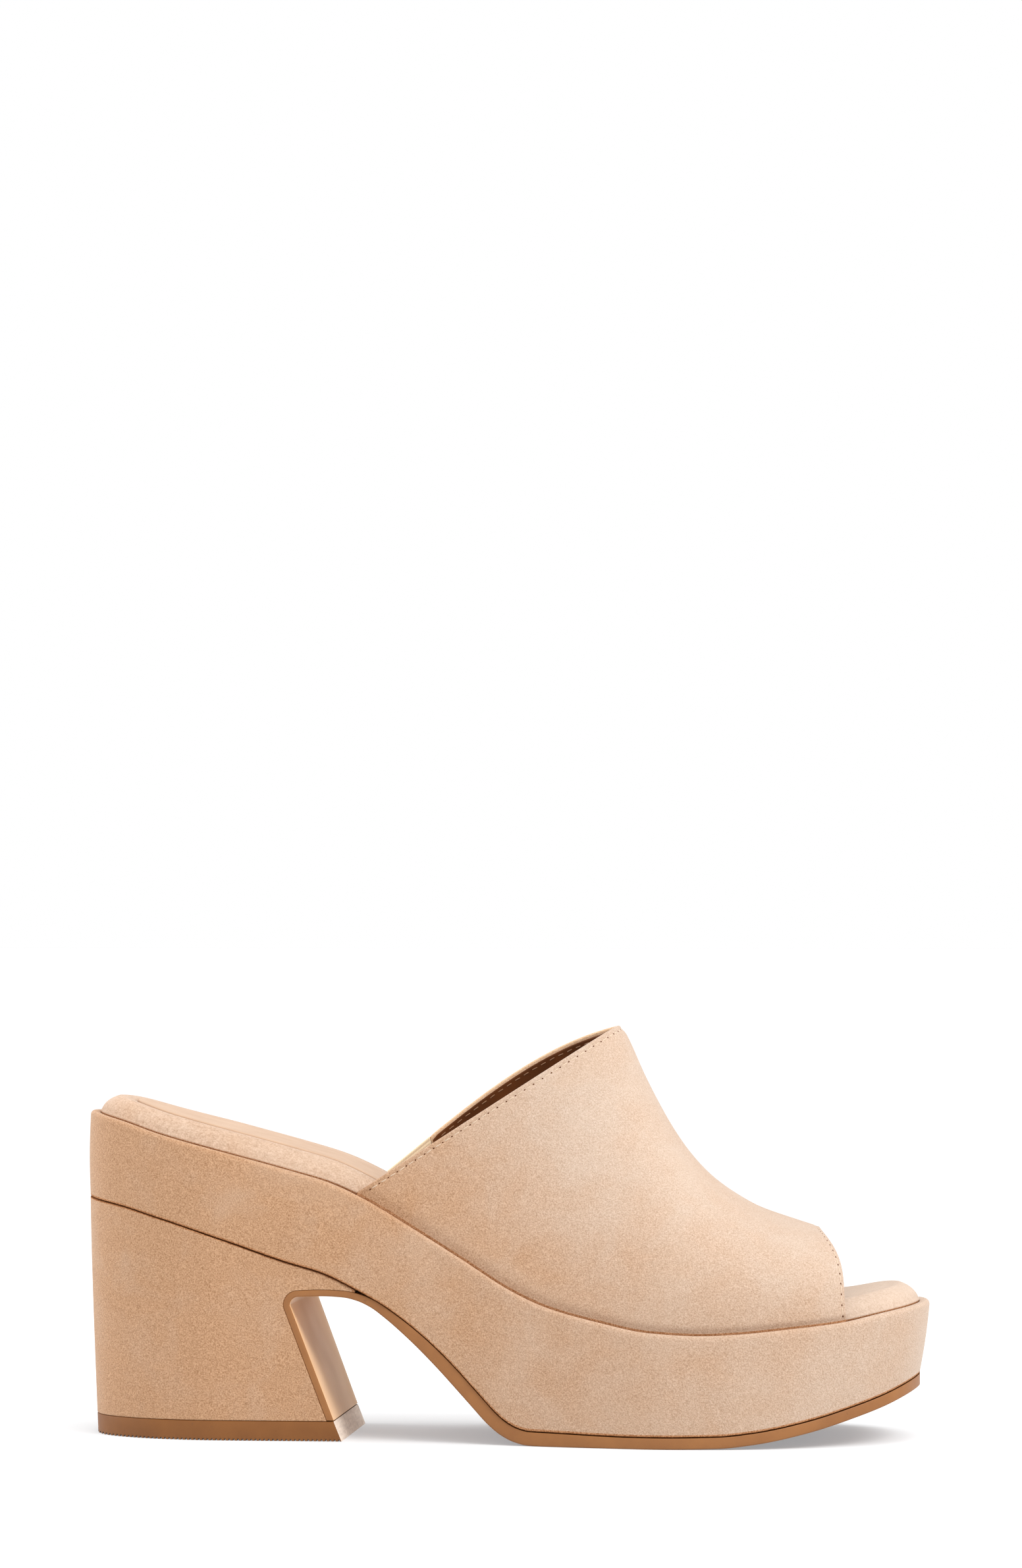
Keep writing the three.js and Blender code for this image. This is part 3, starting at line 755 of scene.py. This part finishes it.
def block_front():
    """Front edge of the heel block from the top-lift to its nose, by length."""
    path = inner_path(fine_air, GAP - SEAT)
    keep = (path[:, 0] < NOSE_TIP_X) & (fine_air[:, 0] < NOSE_MEET_X)
    path = path[keep]
    path[0, 1] = TOP_LIFT_HEIGHT + GAP - SEAT
    tip_z = np.interp(NOSE_TIP_X, path[-9:, 0], path[-9:, 1])
    path = np.vstack([path, [NOSE_TIP_X, tip_z]])
    run = run_along(path)
    corner = int(np.argmax((path[:, 0] > ARCH_X) & (path[:, 1] > CORNER_Z)))
    return path, run, corner


def edge_steps(total, step):
    """Places from 0 to total, closer together near both ends."""
    fine = np.array([0, 0.08, 0.2, 0.38, 0.6, 0.9])
    middle = np.linspace(fine[-1], total - fine[-1], max(int(total / step), 3))
    return np.concatenate([fine[:-1], middle, (total - fine[:-1])[::-1]])


def heel_block():
    """The wrapped heel. Rows follow its front edge up the breast and out to the nose."""
    path, run, corner = block_front()
    edge = 0.3
    corner_x, corner_z = path[corner]
    foot_z = TOP_LIFT_HEIGHT + GAP - SEAT
    corner_back = corner_z + 9
    ahead = path[corner:]
    eased = np.array([1.4, 0.9, 0.6, 0.4, 0.25, 0.13, 0.05, 0])

    def top_line(x):
        return platform_foot(x) - GAP

    def row_height(x, place, front_x, front_z):
        """Height of a row: level up the breast, then fanning out between arch and top."""
        reach = (x - BACK_X) / (front_x - BACK_X)
        share = min(place / run[corner], 1)
        if place <= run[corner]:
            return mix(mix(foot_z, corner_back, share), front_z, reach)
        behind = mix(corner_back, corner_z, np.clip((x - BACK_X) / (corner_x - BACK_X), 0, 1))
        low = np.where(x < corner_x, behind, np.interp(x, ahead[:, 0], ahead[:, 1]))
        place_x = np.maximum(x, corner_x)
        fan = (front_x - place_x) / np.maximum(NOSE_TIP_X - place_x, 1e-6)
        return mix(low, top_line(x), np.clip(fan, 0, 1))

    rings = []
    for place in edge_steps(run[-1], 1.0):
        front_x = np.interp(place, run, path[:, 0])
        front_z = np.interp(place, run, path[:, 1])
        near_front = angle_of(share_at(front_x - eased))
        half = np.concatenate([np.linspace(0, near_front[0], 90)[:-1], near_front])
        angle = np.concatenate([half[::-1], half[1:]])
        plan = outline_points(angle, np.arange(len(angle)) >= len(half))
        x = plan[:, 0]
        z = top_line(x) if place == run[-1] else row_height(x, place, front_x, front_z)
        along = unit(np.gradient(plan, axis=0))
        inward = np.stack([along[:, 1], -along[:, 0]], 1)
        roll = edge + 0.5 * ease((x + 95) / 50)
        below = np.maximum(top_line(x) - z, 0)
        eased_top = round_off(below, roll)
        eased_foot = round_off(place, edge)
        eased_front = round_off(front_x - x, edge)
        draw = taper(z) + np.maximum(np.maximum(eased_top, eased_foot), eased_front)
        moved = plan + inward * draw[:, None]
        rings.append(np.column_stack([moved, z]))
    obj = ring_piece("heel_wrap", rings, SUEDE)

    def depth_below_top(polygon):
        return top_line(polygon.center.x / MM) - polygon.center.z / MM

    count = len(rings[0])
    front_columns = (0, 1, count - 2, count - 3)
    at_tip = lambda p: p.center.x / MM > NOSE_TIP_X - 0.9
    on_front = lambda p: p.index % count in front_columns or p.index // count < 1 or at_tip(p)
    # Painted shade with the joint's brown: along the top under the platform, darkest nearest it, and
    # on the front edge, the foot row and the nose tip.
    paint(obj, EDGE_BROWN_AND_SHADE, lambda p: depth_below_top(p) < 0.42 or on_front(p))
    paint(obj, DARK_JOINT_AND_SHADE, lambda p: depth_below_top(p) < 0.2)
    return settle(obj, "suede", "heel_block")


def outsole():
    """One sheet with eased edges: breast, arch, forefoot and toe spring."""
    tip = BACK_X + LENGTH - TOE_DRAFT - 0.05
    start = ARCH_X + ARCH_SPAN
    turn = quarter(130)[1:]
    x = start + (tip - start) * np.sin(turn)
    air = np.vstack([fine_air, np.stack([x, underside(x)], 1)])
    inner = np.vstack([fine_inner, np.stack([x, underside(x) + sole_thickness(x)], 1)])
    on_breast = 1 - ease((air[:, 0] - ARCH_X) / 6)
    under_heel = 1 - ease((air[:, 0] - NOSE_TIP_X) / 15)
    heel_draw = under_heel * taper(air[:, 1])
    lateral_side, medial_side = sides_at(plan_ring(draft, 400), air[:, 0])
    edge = 0.55
    top_edge = 0.2
    across = np.linspace(-1, 1, 15)[1:-1]
    arc = quarter(5)
    out = 1 - np.sin(arc)
    up = 1 - np.cos(arc)
    rings = []
    for k in range(len(air)):
        lateral = lateral_side[k] + heel_draw[k]
        medial = medial_side[k] - heel_draw[k]
        low_edge = min(edge, 0.45 * min(-lateral, medial))
        hollow = BREAST_HOLLOW * on_breast[k] * ease((air[k, 1] - TOP_LIFT_HEIGHT) / 8)
        middle = mix(lateral + low_edge, medial - low_edge, (across + 1) / 2)
        low_y = [lateral + low_edge * out[::-1], middle, medial - low_edge * out]
        low_up = np.concatenate([low_edge * up[::-1], hollow * (1 - across ** 2), low_edge * up])
        top_y = [medial - top_edge * out[::-1], lateral + top_edge * out]
        top_up = -top_edge * np.concatenate([up[::-1], up])
        thick = unit(inner[k] - air[k])
        place = np.vstack([air[k] + thick * low_up[:, None], inner[k] + thick * top_up[:, None]])
        rings.append(np.column_stack([place[:, 0], np.concatenate(low_y + top_y), place[:, 1]]))
    count = len(rings[0])
    obj = piece("outsole_sheet", np.concatenate(rings), tube_faces(len(rings), count), SOLE)
    face_strip = len(arc) + len(across)
    breast_rows = int((fine_air[:, 0] < ARCH_X + 14).sum())
    paint(
        obj,
        BREAST,
        lambda p: p.index // count < breast_rows and 3 <= p.index % count < face_strip + 2,
    )
    return settle(obj, "outsole", "outsole")


def top_lift():
    """The top-lift, its tread ribs running across and showing as teeth at the edge."""
    top_x = fine_air[0, 0]
    teeth = np.arange(BACK_X + HEEL_TAPER + 0.4, BREAST_X - 0.6, RIB_PITCH)
    soft = 0.07
    half = RIB_PITCH / 2
    places = np.concatenate([[t, t + soft, t + half, t + half + soft] for t in teeth])
    raised = np.tile([0, 1, 1, 0], len(teeth))
    back = BACK_X + HEEL_TAPER + 0.02 + 0.38 * np.linspace(0, 1, 9)[:-1] ** 2
    x_low = np.concatenate([back, places, [BREAST_X]])
    lift_low = np.concatenate([np.zeros(len(back)), raised, [0]]) * RIB_DEPTH
    rings = []
    edge = 0.35
    heights = [0.0, 0.6, 1.2, 3.0, TOP_LIFT_HEIGHT - edge, TOP_LIFT_HEIGHT - 0.15, TOP_LIFT_HEIGHT]
    for z in heights:
        front = mix(BREAST_X, top_x, z / TOP_LIFT_HEIGHT)
        share = (x_low - x_low[0]) / (x_low[-1] - x_low[0])
        draw = float(taper(z) + round_off(TOP_LIFT_HEIGHT - z, edge))
        tapered = plan_ring(draw, 400)
        tip = tapered[:, 0].min()
        x = tip + share * (front - tip)
        lift = lift_low if z == 0 else 0 * lift_low
        rings.append(paired_ring(tapered, x, z + lift, 0.01))
    obj = ring_piece("top_lift_rubber", rings, LIFT, smooth_angle=30)
    paint(obj, LIFT_CUT, lambda p: p.normal.x > 0.8 and p.center.x > (BREAST_X - 8) * MM)
    return settle(obj, "top_lift", "top_lift")


# Pieces round the foot

def pad_inset(x):
    inside = UPPER_LEDGE + UPPER_WALL + GAP - PAD_LEDGE
    rear = (x - COLLAR_FOOT_X + PAD_LEAD) / PAD_TURN
    front = (FRONT_FOOT_X + PAD_TURN - x) / PAD_TURN
    return PAD_LEDGE + inside * ease(rear) * ease(front)


def footbed():
    """The padded footbed. Its suede puckers a little where it turns tightly."""
    base = plan_ring(pad_inset)
    length = ring_length(base)
    x = base[:, 0]
    tight = ease((BACK_X + 34 - x) / 26) + ease((x - BACK_X - LENGTH + 40) / 26)
    wobble = np.sin(length / 7.3) + 0.6 * np.sin(length / 3.1 + 1)
    pucker = tight * np.sin(2 * math.pi * length / 2.7 + 1.4 * wobble)
    pucker *= 0.6 + 0.4 * np.sin(length / 5.1 + 2)
    slack = 0.12 * np.sin(length / 9.7) + 0.08 * np.sin(length / 4.3 + 0.7)

    def ring(inward, up, puckered=0.0, crown=0.0):
        sink = 0.09 * puckered * pucker + slack * min(up, 1)
        plan = plan_ring(lambda place: pad_inset(place) + PAD_ROLL * inward)
        inner = plan_ring(lambda place: pad_inset(place) + PAD_ROLL * inward + 1)
        plan = plan + (inner - plan) * sink[:, None]
        ahead = ease((plan[:, 0] - BACK_X - SOCK_FRONT) / 30)
        return np.column_stack([plan, rim(plan[:, 0]) + GAP + PAD_RISE * (up + crown * ahead)])

    sunk = -(GAP + GROOVE_DEPTH) / PAD_RISE
    rings = [ring(0.25, sunk), ring(0.03, sunk * 0.8), ring(-0.03, 0.0, 1)]
    for inward in (0.0, 0.03, 0.07, 0.13, 0.22, 0.34, 0.5, 0.68, 0.86, 1.0, 1.2, 1.42):
        up = max(float(roll_up(inward)), 0.08)
        rings.append(ring(inward, up, max(0.0, 1 - up * 1.5)))
    seat = 1 - PAD_SINK / PAD_RISE
    basin = ((-0.5, 0.93, 0.09), (0, seat + 0.02, 0.18), (3, seat, 0.22), (9, seat - 0.02, 0.27))
    for inward, up, crown in basin:
        rings.append(ring((SOCK_MARGIN + inward) / PAD_ROLL, up, crown=crown))
    obj = ring_piece("footbed_pad", rings, PAD_SUEDE, smooth_angle=60)
    # Painted shade with the joint's brown on the rows that sink into the groove at the rim.
    paint(obj, EDGE_BROWN_AND_SHADE, lambda p: p.index // len(base) < 2)
    settle(obj, "suede", "footbed")
    return obj


def heel_sock():
    """The sock leather, a thin sheet let into the footbed with an eased edge."""
    front = BACK_X + SOCK_FRONT
    along = 1 - np.cos(quarter(150))

    def ring(extra, height):
        plan = plan_ring(lambda x: pad_inset(x) + SOCK_MARGIN + GAP + extra, 300)
        back = plan[:, 0].min()
        x = back + (front - extra - back) * along
        return paired_ring(plan, x, rim(x) + PAD_RISE - PAD_SINK + 2 * GAP + height, 0.02)

    rings = [ring(0.1, -SEAT), ring(0.0, 0.1)]
    for turn in quarter(5):
        rings.append(ring(0.5 * (1 - math.cos(turn)), SOCK_THICKNESS * (0.4 + 0.6 * math.sin(turn))))
    rings.append(ring(3, SOCK_THICKNESS))
    obj = ring_piece("sock_leather_sheet", rings, SOCK)
    return settle(obj, "sock", "heel_sock")


COLLAR_TOP_X = BACK_X + COLLAR_TOP
FRONT_TOP_X = BACK_X + FRONT_TOP
COLLAR_TOP_Z = HEEL_RISE + COLLAR_RISE
FRONT_TOP_Z = BALL_RISE + FRONT_RISE


def upper_point(row, column):
    """A point on the upper's outside: row from collar to front edge, column from the
    lateral feather edge, -1, over the ridge, 0, to the medial, 1."""
    row, column = np.broadcast_arrays(np.asarray(row, float), np.asarray(column, float))
    medial = column >= 0
    sign = np.where(medial, 1.0, -1.0)
    rear_x = np.where(medial, BACK_X + COLLAR_FOOT_MEDIAL, COLLAR_FOOT_X)
    foot_x = mix(rear_x, np.where(medial, BACK_X + FRONT_FOOT_MEDIAL, FRONT_FOOT_X), row)
    foot_y = sign * (half_width(foot_x, medial) - UPPER_LEDGE)
    foot_z = rim(foot_x) + GAP
    ridge_x = mix(COLLAR_TOP_X, FRONT_TOP_X, ridge_along(row))
    ridge_z = mix(COLLAR_TOP_Z, FRONT_TOP_Z, ridge_drop(row))
    ridge_y = BALL_WIDTH * ridge_side(row)
    power = 2 / ridge_square(row)
    angle = (1 - np.abs(column)) * (math.pi / 2)
    up = np.sin(angle) ** power
    out = np.clip(np.cos(angle), 0, 1) ** power
    bulge = BOW_PEAK * np.sin(2 * angle) * np.cos(angle)
    rise = np.hypot(ridge_x - foot_x, ridge_z - foot_z)
    collar_bow = np.where(medial, MEDIAL_BOW, 0) * (1 - row) ** 3 * bulge
    toe_skew = sign * FRONT_SKEW * out * (1 - out)
    toe_bow = (np.where(medial, FRONT_BOW_MEDIAL, FRONT_BOW) * bulge - toe_skew) * row ** 3
    swell = SIDE_SWELL * np.sin(math.pi * row) * np.sin(2 * angle)
    x = mix(foot_x, ridge_x, up) - collar_bow * (ridge_z - foot_z) / rise + toe_bow
    z = mix(foot_z, ridge_z, up) + collar_bow * (ridge_x - foot_x) / rise
    return np.stack([x, mix(ridge_y, foot_y, out) + sign * swell, z], -1)


def upper_normal(row, column):
    """Outward normal of the upper's outside."""
    probe = 2e-3
    row = np.clip(row, probe, 1 - probe)
    column = np.clip(column, probe - 1, 1 - probe)
    along = upper_point(row + probe, column) - upper_point(row - probe, column)
    across = upper_point(row, column + probe) - upper_point(row, column - probe)
    return unit(np.cross(along, across))


def row_scale(row, column):
    """Millimetres of the outside for each unit of row."""
    probe = 2e-3
    row = np.clip(row, probe, 1 - probe)
    step = upper_point(row + probe, column) - upper_point(row - probe, column)
    return np.linalg.norm(step, axis=-1) / (2 * probe)


GORE_TOP_X = BACK_X + GORE_TOP
GORE_FOOT_X = BACK_X + GORE_FOOT


def gore_line_x(z):
    """Where the upper's slanting rear cut stands at a height."""
    low = float(rim(GORE_FOOT_X))
    high = float(rim(GORE_TOP_X)) + GORE_SPREAD
    return mix(GORE_FOOT_X, GORE_TOP_X, (z - low) / (high - low))


def cut_row(columns):
    """The row at which each column meets the rear cut, 0 where it never does."""
    low = np.zeros(len(columns))
    high = np.full(len(columns), 0.5)
    behind = lambda p: p[:, 0] < gore_line_x(p[:, 2])
    starts = behind(upper_point(low, columns)) & (columns > 0.4)
    for _ in range(30):
        middle = (low + high) / 2
        inside = behind(upper_point(middle, columns))
        low = np.where(inside, middle, low)
        high = np.where(inside, high, middle)
    return np.where(starts, low, 0.0)


def near_steps(total, count, ends=(0, 0.1, 0.25, 0.45, 0.75, 1.2, 1.8)):
    """Shares from 0 to 1, closer together near both ends of a length in millimetres."""
    fine = np.array(ends) / total
    middle = np.linspace(fine[-1], 1 - fine[-1], count)
    return np.concatenate([fine[:-1], middle, (1 - fine[:-1])[::-1]])


def band_piece(name, outside, inside, material, **options):
    """A wall between two grids of points, closed round its edges."""
    rows, columns = outside.shape[:2]
    points = np.concatenate([outside.reshape(-1, 3), inside.reshape(-1, 3)])
    ids = np.arange(rows * columns).reshape(rows, columns)
    deep = ids + rows * columns
    skin = np.stack([ids[:-1, :-1], ids[1:, :-1], ids[1:, 1:], ids[:-1, 1:]], -1).reshape(-1, 4)
    back = np.stack([deep[:-1, :-1], deep[:-1, 1:], deep[1:, 1:], deep[1:, :-1]], -1).reshape(-1, 4)
    rim_ids = np.concatenate([ids[0], ids[1:, -1], ids[-1, -2::-1], ids[-2:0:-1, 0]])
    rim_deep = np.concatenate([deep[0], deep[1:, -1], deep[-1, -2::-1], deep[-2:0:-1, 0]])
    wall = np.stack([rim_ids, np.roll(rim_ids, -1), np.roll(rim_deep, -1), rim_deep], -1)
    faces = np.concatenate([skin, back, wall]).tolist()
    return piece(name, points, faces, material, **options)


def upper_grid(depth_of, row_start, row_end=1.0, count=130, columns=None):
    """Points of the upper at a depth, with rows between two edges."""
    if columns is None:
        columns = 2 * near_steps(BAND_GIRTH, 170, (0, 0.15, 0.35, 0.6, 0.9, 1.4, 2.2)) - 1
    start = row_start(columns)
    ends = (0, 0.1, 0.22, 0.4, 0.62, 0.85, 1.05, 1.25, 1.5, 1.75, 2.0, 2.3, 2.7, 3.3)
    steps = near_steps(BAND_RUN, count, ends)
    row = start[None, :] + (row_end - start[None, :]) * steps[:, None]
    column = np.broadcast_to(columns, row.shape)
    scale = row_scale(row, column)
    from_collar = (row - start[None, :]) * scale
    from_front = (row_end - row) * scale
    from_feather = (1 - np.abs(column)) * BAND_SIDE
    depth = depth_of(from_collar, from_front, from_feather, row, column)
    return upper_point(row, column) - upper_normal(row, column) * depth[..., None]


def trough(away, spread):
    """A soft hollow, 1 deep on its line and gone a few spreads away."""
    return np.exp(-(away / spread) ** 2)


def creases(row, column):
    """Faint hollows where the vamp has been walked in, as depths."""
    side = np.abs(column)
    soft = trough(row - 0.74 - 0.03 * np.cos(5 * column), 0.035) * trough(side - 0.35, 0.3)
    lower = trough(row - 0.62 + 0.05 * column, 0.03) * trough(side - 0.55, 0.22)
    return 0.175 * soft + 0.11 * lower


def set_feather(grids, above_rim):
    """Puts the feather edges of the grids at a height over the platform's rim."""
    for grid in grids:
        for column in (0, -1):
            grid[:, column, 2] = rim(grid[:, column, 0]) + above_rim


def upper():
    """The suede band, with folded edges that turn in at the feather."""
    edge = SUEDE_WALL / 2

    def outer(collar, front, feather, row, column):
        depth = np.maximum(round_off(collar, edge), round_off(front, edge))
        sewn = trough(collar - COLLAR_MARGIN, 0.5) + trough(front - FRONT_MARGIN, 0.5)
        return depth + SEWN_DEPTH * sewn + 0.5 * (1 - ease(feather / 1.5)) + creases(row, column)

    def inner(collar, front, feather, row, column):
        draw = np.maximum(round_off(collar, edge), round_off(front, edge))
        return SUEDE_WALL + 0 * row - draw + 0.3 * (1 - ease(feather / 1.6))

    outside = upper_grid(outer, cut_row)
    inside = upper_grid(inner, cut_row)
    set_feather((outside, inside), -GROOVE_DEPTH)
    obj = band_piece("upper_suede", outside, inside, SUEDE, smooth_angle=60)
    strips = outside.shape[1] - 1
    skin = strips * (outside.shape[0] - 1)
    # Painted shade with the joint's brown on the strips at the feather, where the upper meets the rim.
    paint(obj, EDGE_BROWN_AND_SHADE, lambda p: p.index < skin and p.index % strips in (0, strips - 1))
    # Painted light on the inside faces along the collar, paler and warmer than the suede.
    paint(obj, FOLDED_EDGE_LIT, lambda p: skin <= p.index < skin + 7 * strips)
    return settle(obj, "suede", "upper")


def lining():
    """The lining leather inside the upper, set back a little from its edges."""
    back = 1.1

    def start(columns):
        cut = cut_row(columns)
        return cut + back / row_scale(cut, columns)

    def outer(collar, front, feather, row, column):
        return SUEDE_WALL + 0.04 + 0 * row

    def inner(collar, front, feather, row, column):
        edge = 0.3
        return UPPER_WALL - np.maximum(round_off(collar, edge), round_off(front, edge))

    columns = 2 * near_steps(BAND_GIRTH, 130) - 1
    outside = upper_grid(outer, start, 1 - back / BAND_RUN, 100, columns)
    inside = upper_grid(inner, start, 1 - back / BAND_RUN, 100, columns)
    set_feather((outside, inside), GAP - SEAT)
    obj = band_piece("upper_lining", outside, inside, LINING, smooth_angle=60)
    return settle(obj, "suede")


def gore():
    """Ribbed elastic in the rear medial corner, its ribs along the topline."""
    probe = np.linspace(0.62, 1, 3000)
    first = probe[cut_row(probe) > 1e-5][0]
    columns = np.linspace(first, 1, 70)
    ends = cut_row(columns)
    steps = np.linspace(0, 1, 90)
    row = ends[None, :] * steps[:, None]
    column = np.broadcast_to(columns, row.shape)
    outer_depth = (UPPER_WALL - GORE_WALL) / 2
    along = row * row_scale(row, column)
    rib = 0.14 * (1 - np.abs(np.sin(math.pi * along / 1.1)))
    normal = upper_normal(row, column)
    point = upper_point(row, column)
    edge = round_off(along, 0.4)
    outside = point - normal * (outer_depth + rib + edge)[..., None]
    inside = point - normal * (outer_depth + GORE_WALL - rib - edge)[..., None]
    for grid in (outside, inside):
        grid[:, -1, 2] = rim(grid[:, -1, 0]) + GAP - SEAT
    obj = band_piece("gore_elastic", outside, inside, ELASTIC, smooth_angle=60)
    return settle(obj, "elastic", "gore")


def sampled(places, run, line):
    """Values of a line, of points or normals, at lengths along it."""
    return np.stack([np.interp(places, run, line[:, i]) for i in range(3)], -1)


def sewing(name, points, normals, material):
    """Stitches as short tubes along a line of points, each end diving into its hole."""
    run = run_along(points)
    sides, rings = 6, 7
    around = (np.arange(sides) * 2 * math.pi / sides)[:, None]
    swing = np.linspace(-1, 1, rings)
    height = THREAD_PROUD - (THREAD_PROUD + THREAD_SUNK) * swing ** 4
    radius = THREAD * (1 - 0.35 * swing ** 4)
    verts, faces = [], []
    rng = np.random.default_rng(7)
    for k in range(int(run[-1] / STITCH_PITCH)):
        first = k * STITCH_PITCH + STITCH_GAP / 2
        places = np.linspace(first, first + STITCH_PITCH - STITCH_GAP, rings)
        centre = sampled(places, run, points)
        normal = sampled(places, run, normals)
        across = unit(np.cross(np.gradient(centre, axis=0), normal))
        lean = rng.uniform(-0.09, 0.09)
        centre = centre + normal * height[:, None] + across * (lean * swing)[:, None]
        spoke = np.cos(around) * normal[:, None] * 0.8 + np.sin(around) * across[:, None]
        faces += tube_faces(rings, sides, len(verts))
        verts += list((centre[:, None] + radius[:, None, None] * spoke).reshape(-1, 3))
    obj = piece(name, verts, faces, material, smooth_angle=70)
    return settle(obj, "suede")


def holes(name, points, normals, material):
    """Painted shade of the needle holes: small dark spots set just over the surface between the
    stitches.
    """
    run = run_along(points)
    sides = 10
    around = (2 * math.pi * np.arange(sides) / sides)[:, None]
    verts, faces = [], []
    for place in np.arange(0, run[-1], STITCH_PITCH):
        centre = sampled(place, run, points)
        normal = sampled(place, run, normals)
        along = unit(sampled(place + 0.4, run, points) - sampled(place - 0.4, run, points))
        across = unit(np.cross(along, normal))
        spoke = np.cos(around) * along * 1.15 + np.sin(around) * across * 0.8
        faces += tube_faces(3, sides, len(verts))
        for radius, height in ((1, -0.1), (0.85, 0), (0.4, 0.01)):
            verts += list(centre + HOLE * radius * spoke + normal * (HOLE_LIFT + height))
    obj = piece(name, verts, faces, material, smooth_angle=70)
    return settle(obj, "suede")


def seam_line(edge_row, inward, depth, margin):
    """Points and normals of a line at a margin in from the collar or the front edge."""
    columns = np.linspace(-0.985, 0.985, 700)
    if inward > 0:
        columns = columns[cut_row(columns) < 1e-6]
    edge = np.full(len(columns), float(edge_row))
    row = edge + inward * margin / row_scale(edge, columns)
    normal = upper_normal(row, columns)
    point = upper_point(row, columns) - normal * depth
    return point, normal


def seams():
    rows = (("collar", 0, 1, COLLAR_MARGIN), ("front", 1, -1, FRONT_MARGIN))
    for name, edge_row, inward, margin in rows:
        point, normal = seam_line(edge_row, inward, SEWN_DEPTH, margin)
        sewing(f"{name}_stitches", point, normal, THREAD_PALE)
        holes(f"{name}_holes", point, normal, HOLE_SHADE)
        point, normal = seam_line(edge_row, inward, UPPER_WALL, margin + 0.6)
        sewing(f"{name}_stitches_inside", point, -normal, THREAD_BROWN)


# Setting

def light(name, kind, power, place, aim, **settings):
    """A light at a place, turned to its aim."""
    data = bpy.data.lights.new(name, kind)
    data.energy = power
    for key, value in settings.items():
        setattr(data, key, value)
    obj = add_object(name, data)
    obj.location = Vector(place)
    obj.rotation_euler = (Vector(aim) - obj.location).to_track_quat("-Z", "Y").to_euler()


FLOOR_GLOW = 0.29


def setting():
    """A plain white floor that glows a little, as painted light that lifts and cools its shadows, an
    even white surround and soft studio light.
    """
    scene = bpy.context.scene
    scene.view_settings.view_transform = "Standard"
    world = bpy.data.worlds.new("surround")
    scene.world = world
    world.use_nodes = True
    background = world.node_tree.nodes["Background"]
    background.inputs["Color"].default_value = (1, 1, 1, 1)
    background.inputs["Strength"].default_value = 1.0
    reach = 40000
    # Painted light: the floor's slightly cool glow lifts the shadows on it.
    floor_finish = Finish(
        "floor_paint",
        0.9,
        Specular_IOR_Level=0.1,
        Emission_Color=(0.93, 1.0, 1.06, 1),
        Emission_Strength=FLOOR_GLOW,
    )
    cloud = floor_finish.noise(400, detail=1)
    floor_finish.colour(floor_finish.blend(cloud, (0.54, 0.54, 0.54, 1), (0.56, 0.56, 0.56, 1)))
    corners = [(-reach, -reach, 0), (reach, -reach, 0), (reach, reach, 0), (-reach, reach, 0)]
    floor = piece("floor", corners, [[0, 1, 2, 3]], floor_finish.material)
    light("even_sun", "SUN", 1.6, (0, 0, 0), (-0.4, 0.35, -1), angle=math.radians(55))
    disk = {"shape": "DISK", "size": 0.45}
    light("toe_softbox", "AREA", 4.2, (0.62, -0.42, 0.66), (0.04, 0, 0.06), **disk)
    disk["size"] = 0.4
    light("heel_softbox", "AREA", 2.5, (-0.7, 0.1, 0.35), (-0.1, 0, 0.06), **disk)


def camera():
    turn = math.radians(CAMERA_TURN)
    data = bpy.data.cameras.new("camera")
    data.sensor_width = CAMERA_SENSOR
    data.lens = CAMERA_FOCUS
    obj = add_object("camera", data)
    obj.location = (
        CAMERA_AWAY * math.sin(turn) * MM,
        -CAMERA_AWAY * math.cos(turn) * MM,
        CAMERA_HEIGHT * MM,
    )
    yaw = math.radians(CAMERA_TURN + CAMERA_YAW)
    obj.rotation_euler = (math.radians(90 + CAMERA_PITCH), 0, yaw)
    bpy.context.scene.camera = obj


camera()
setting()
platform()
heel_block()
outsole()
top_lift()
footbed()
heel_sock()
upper()
lining()
gore()
seams()
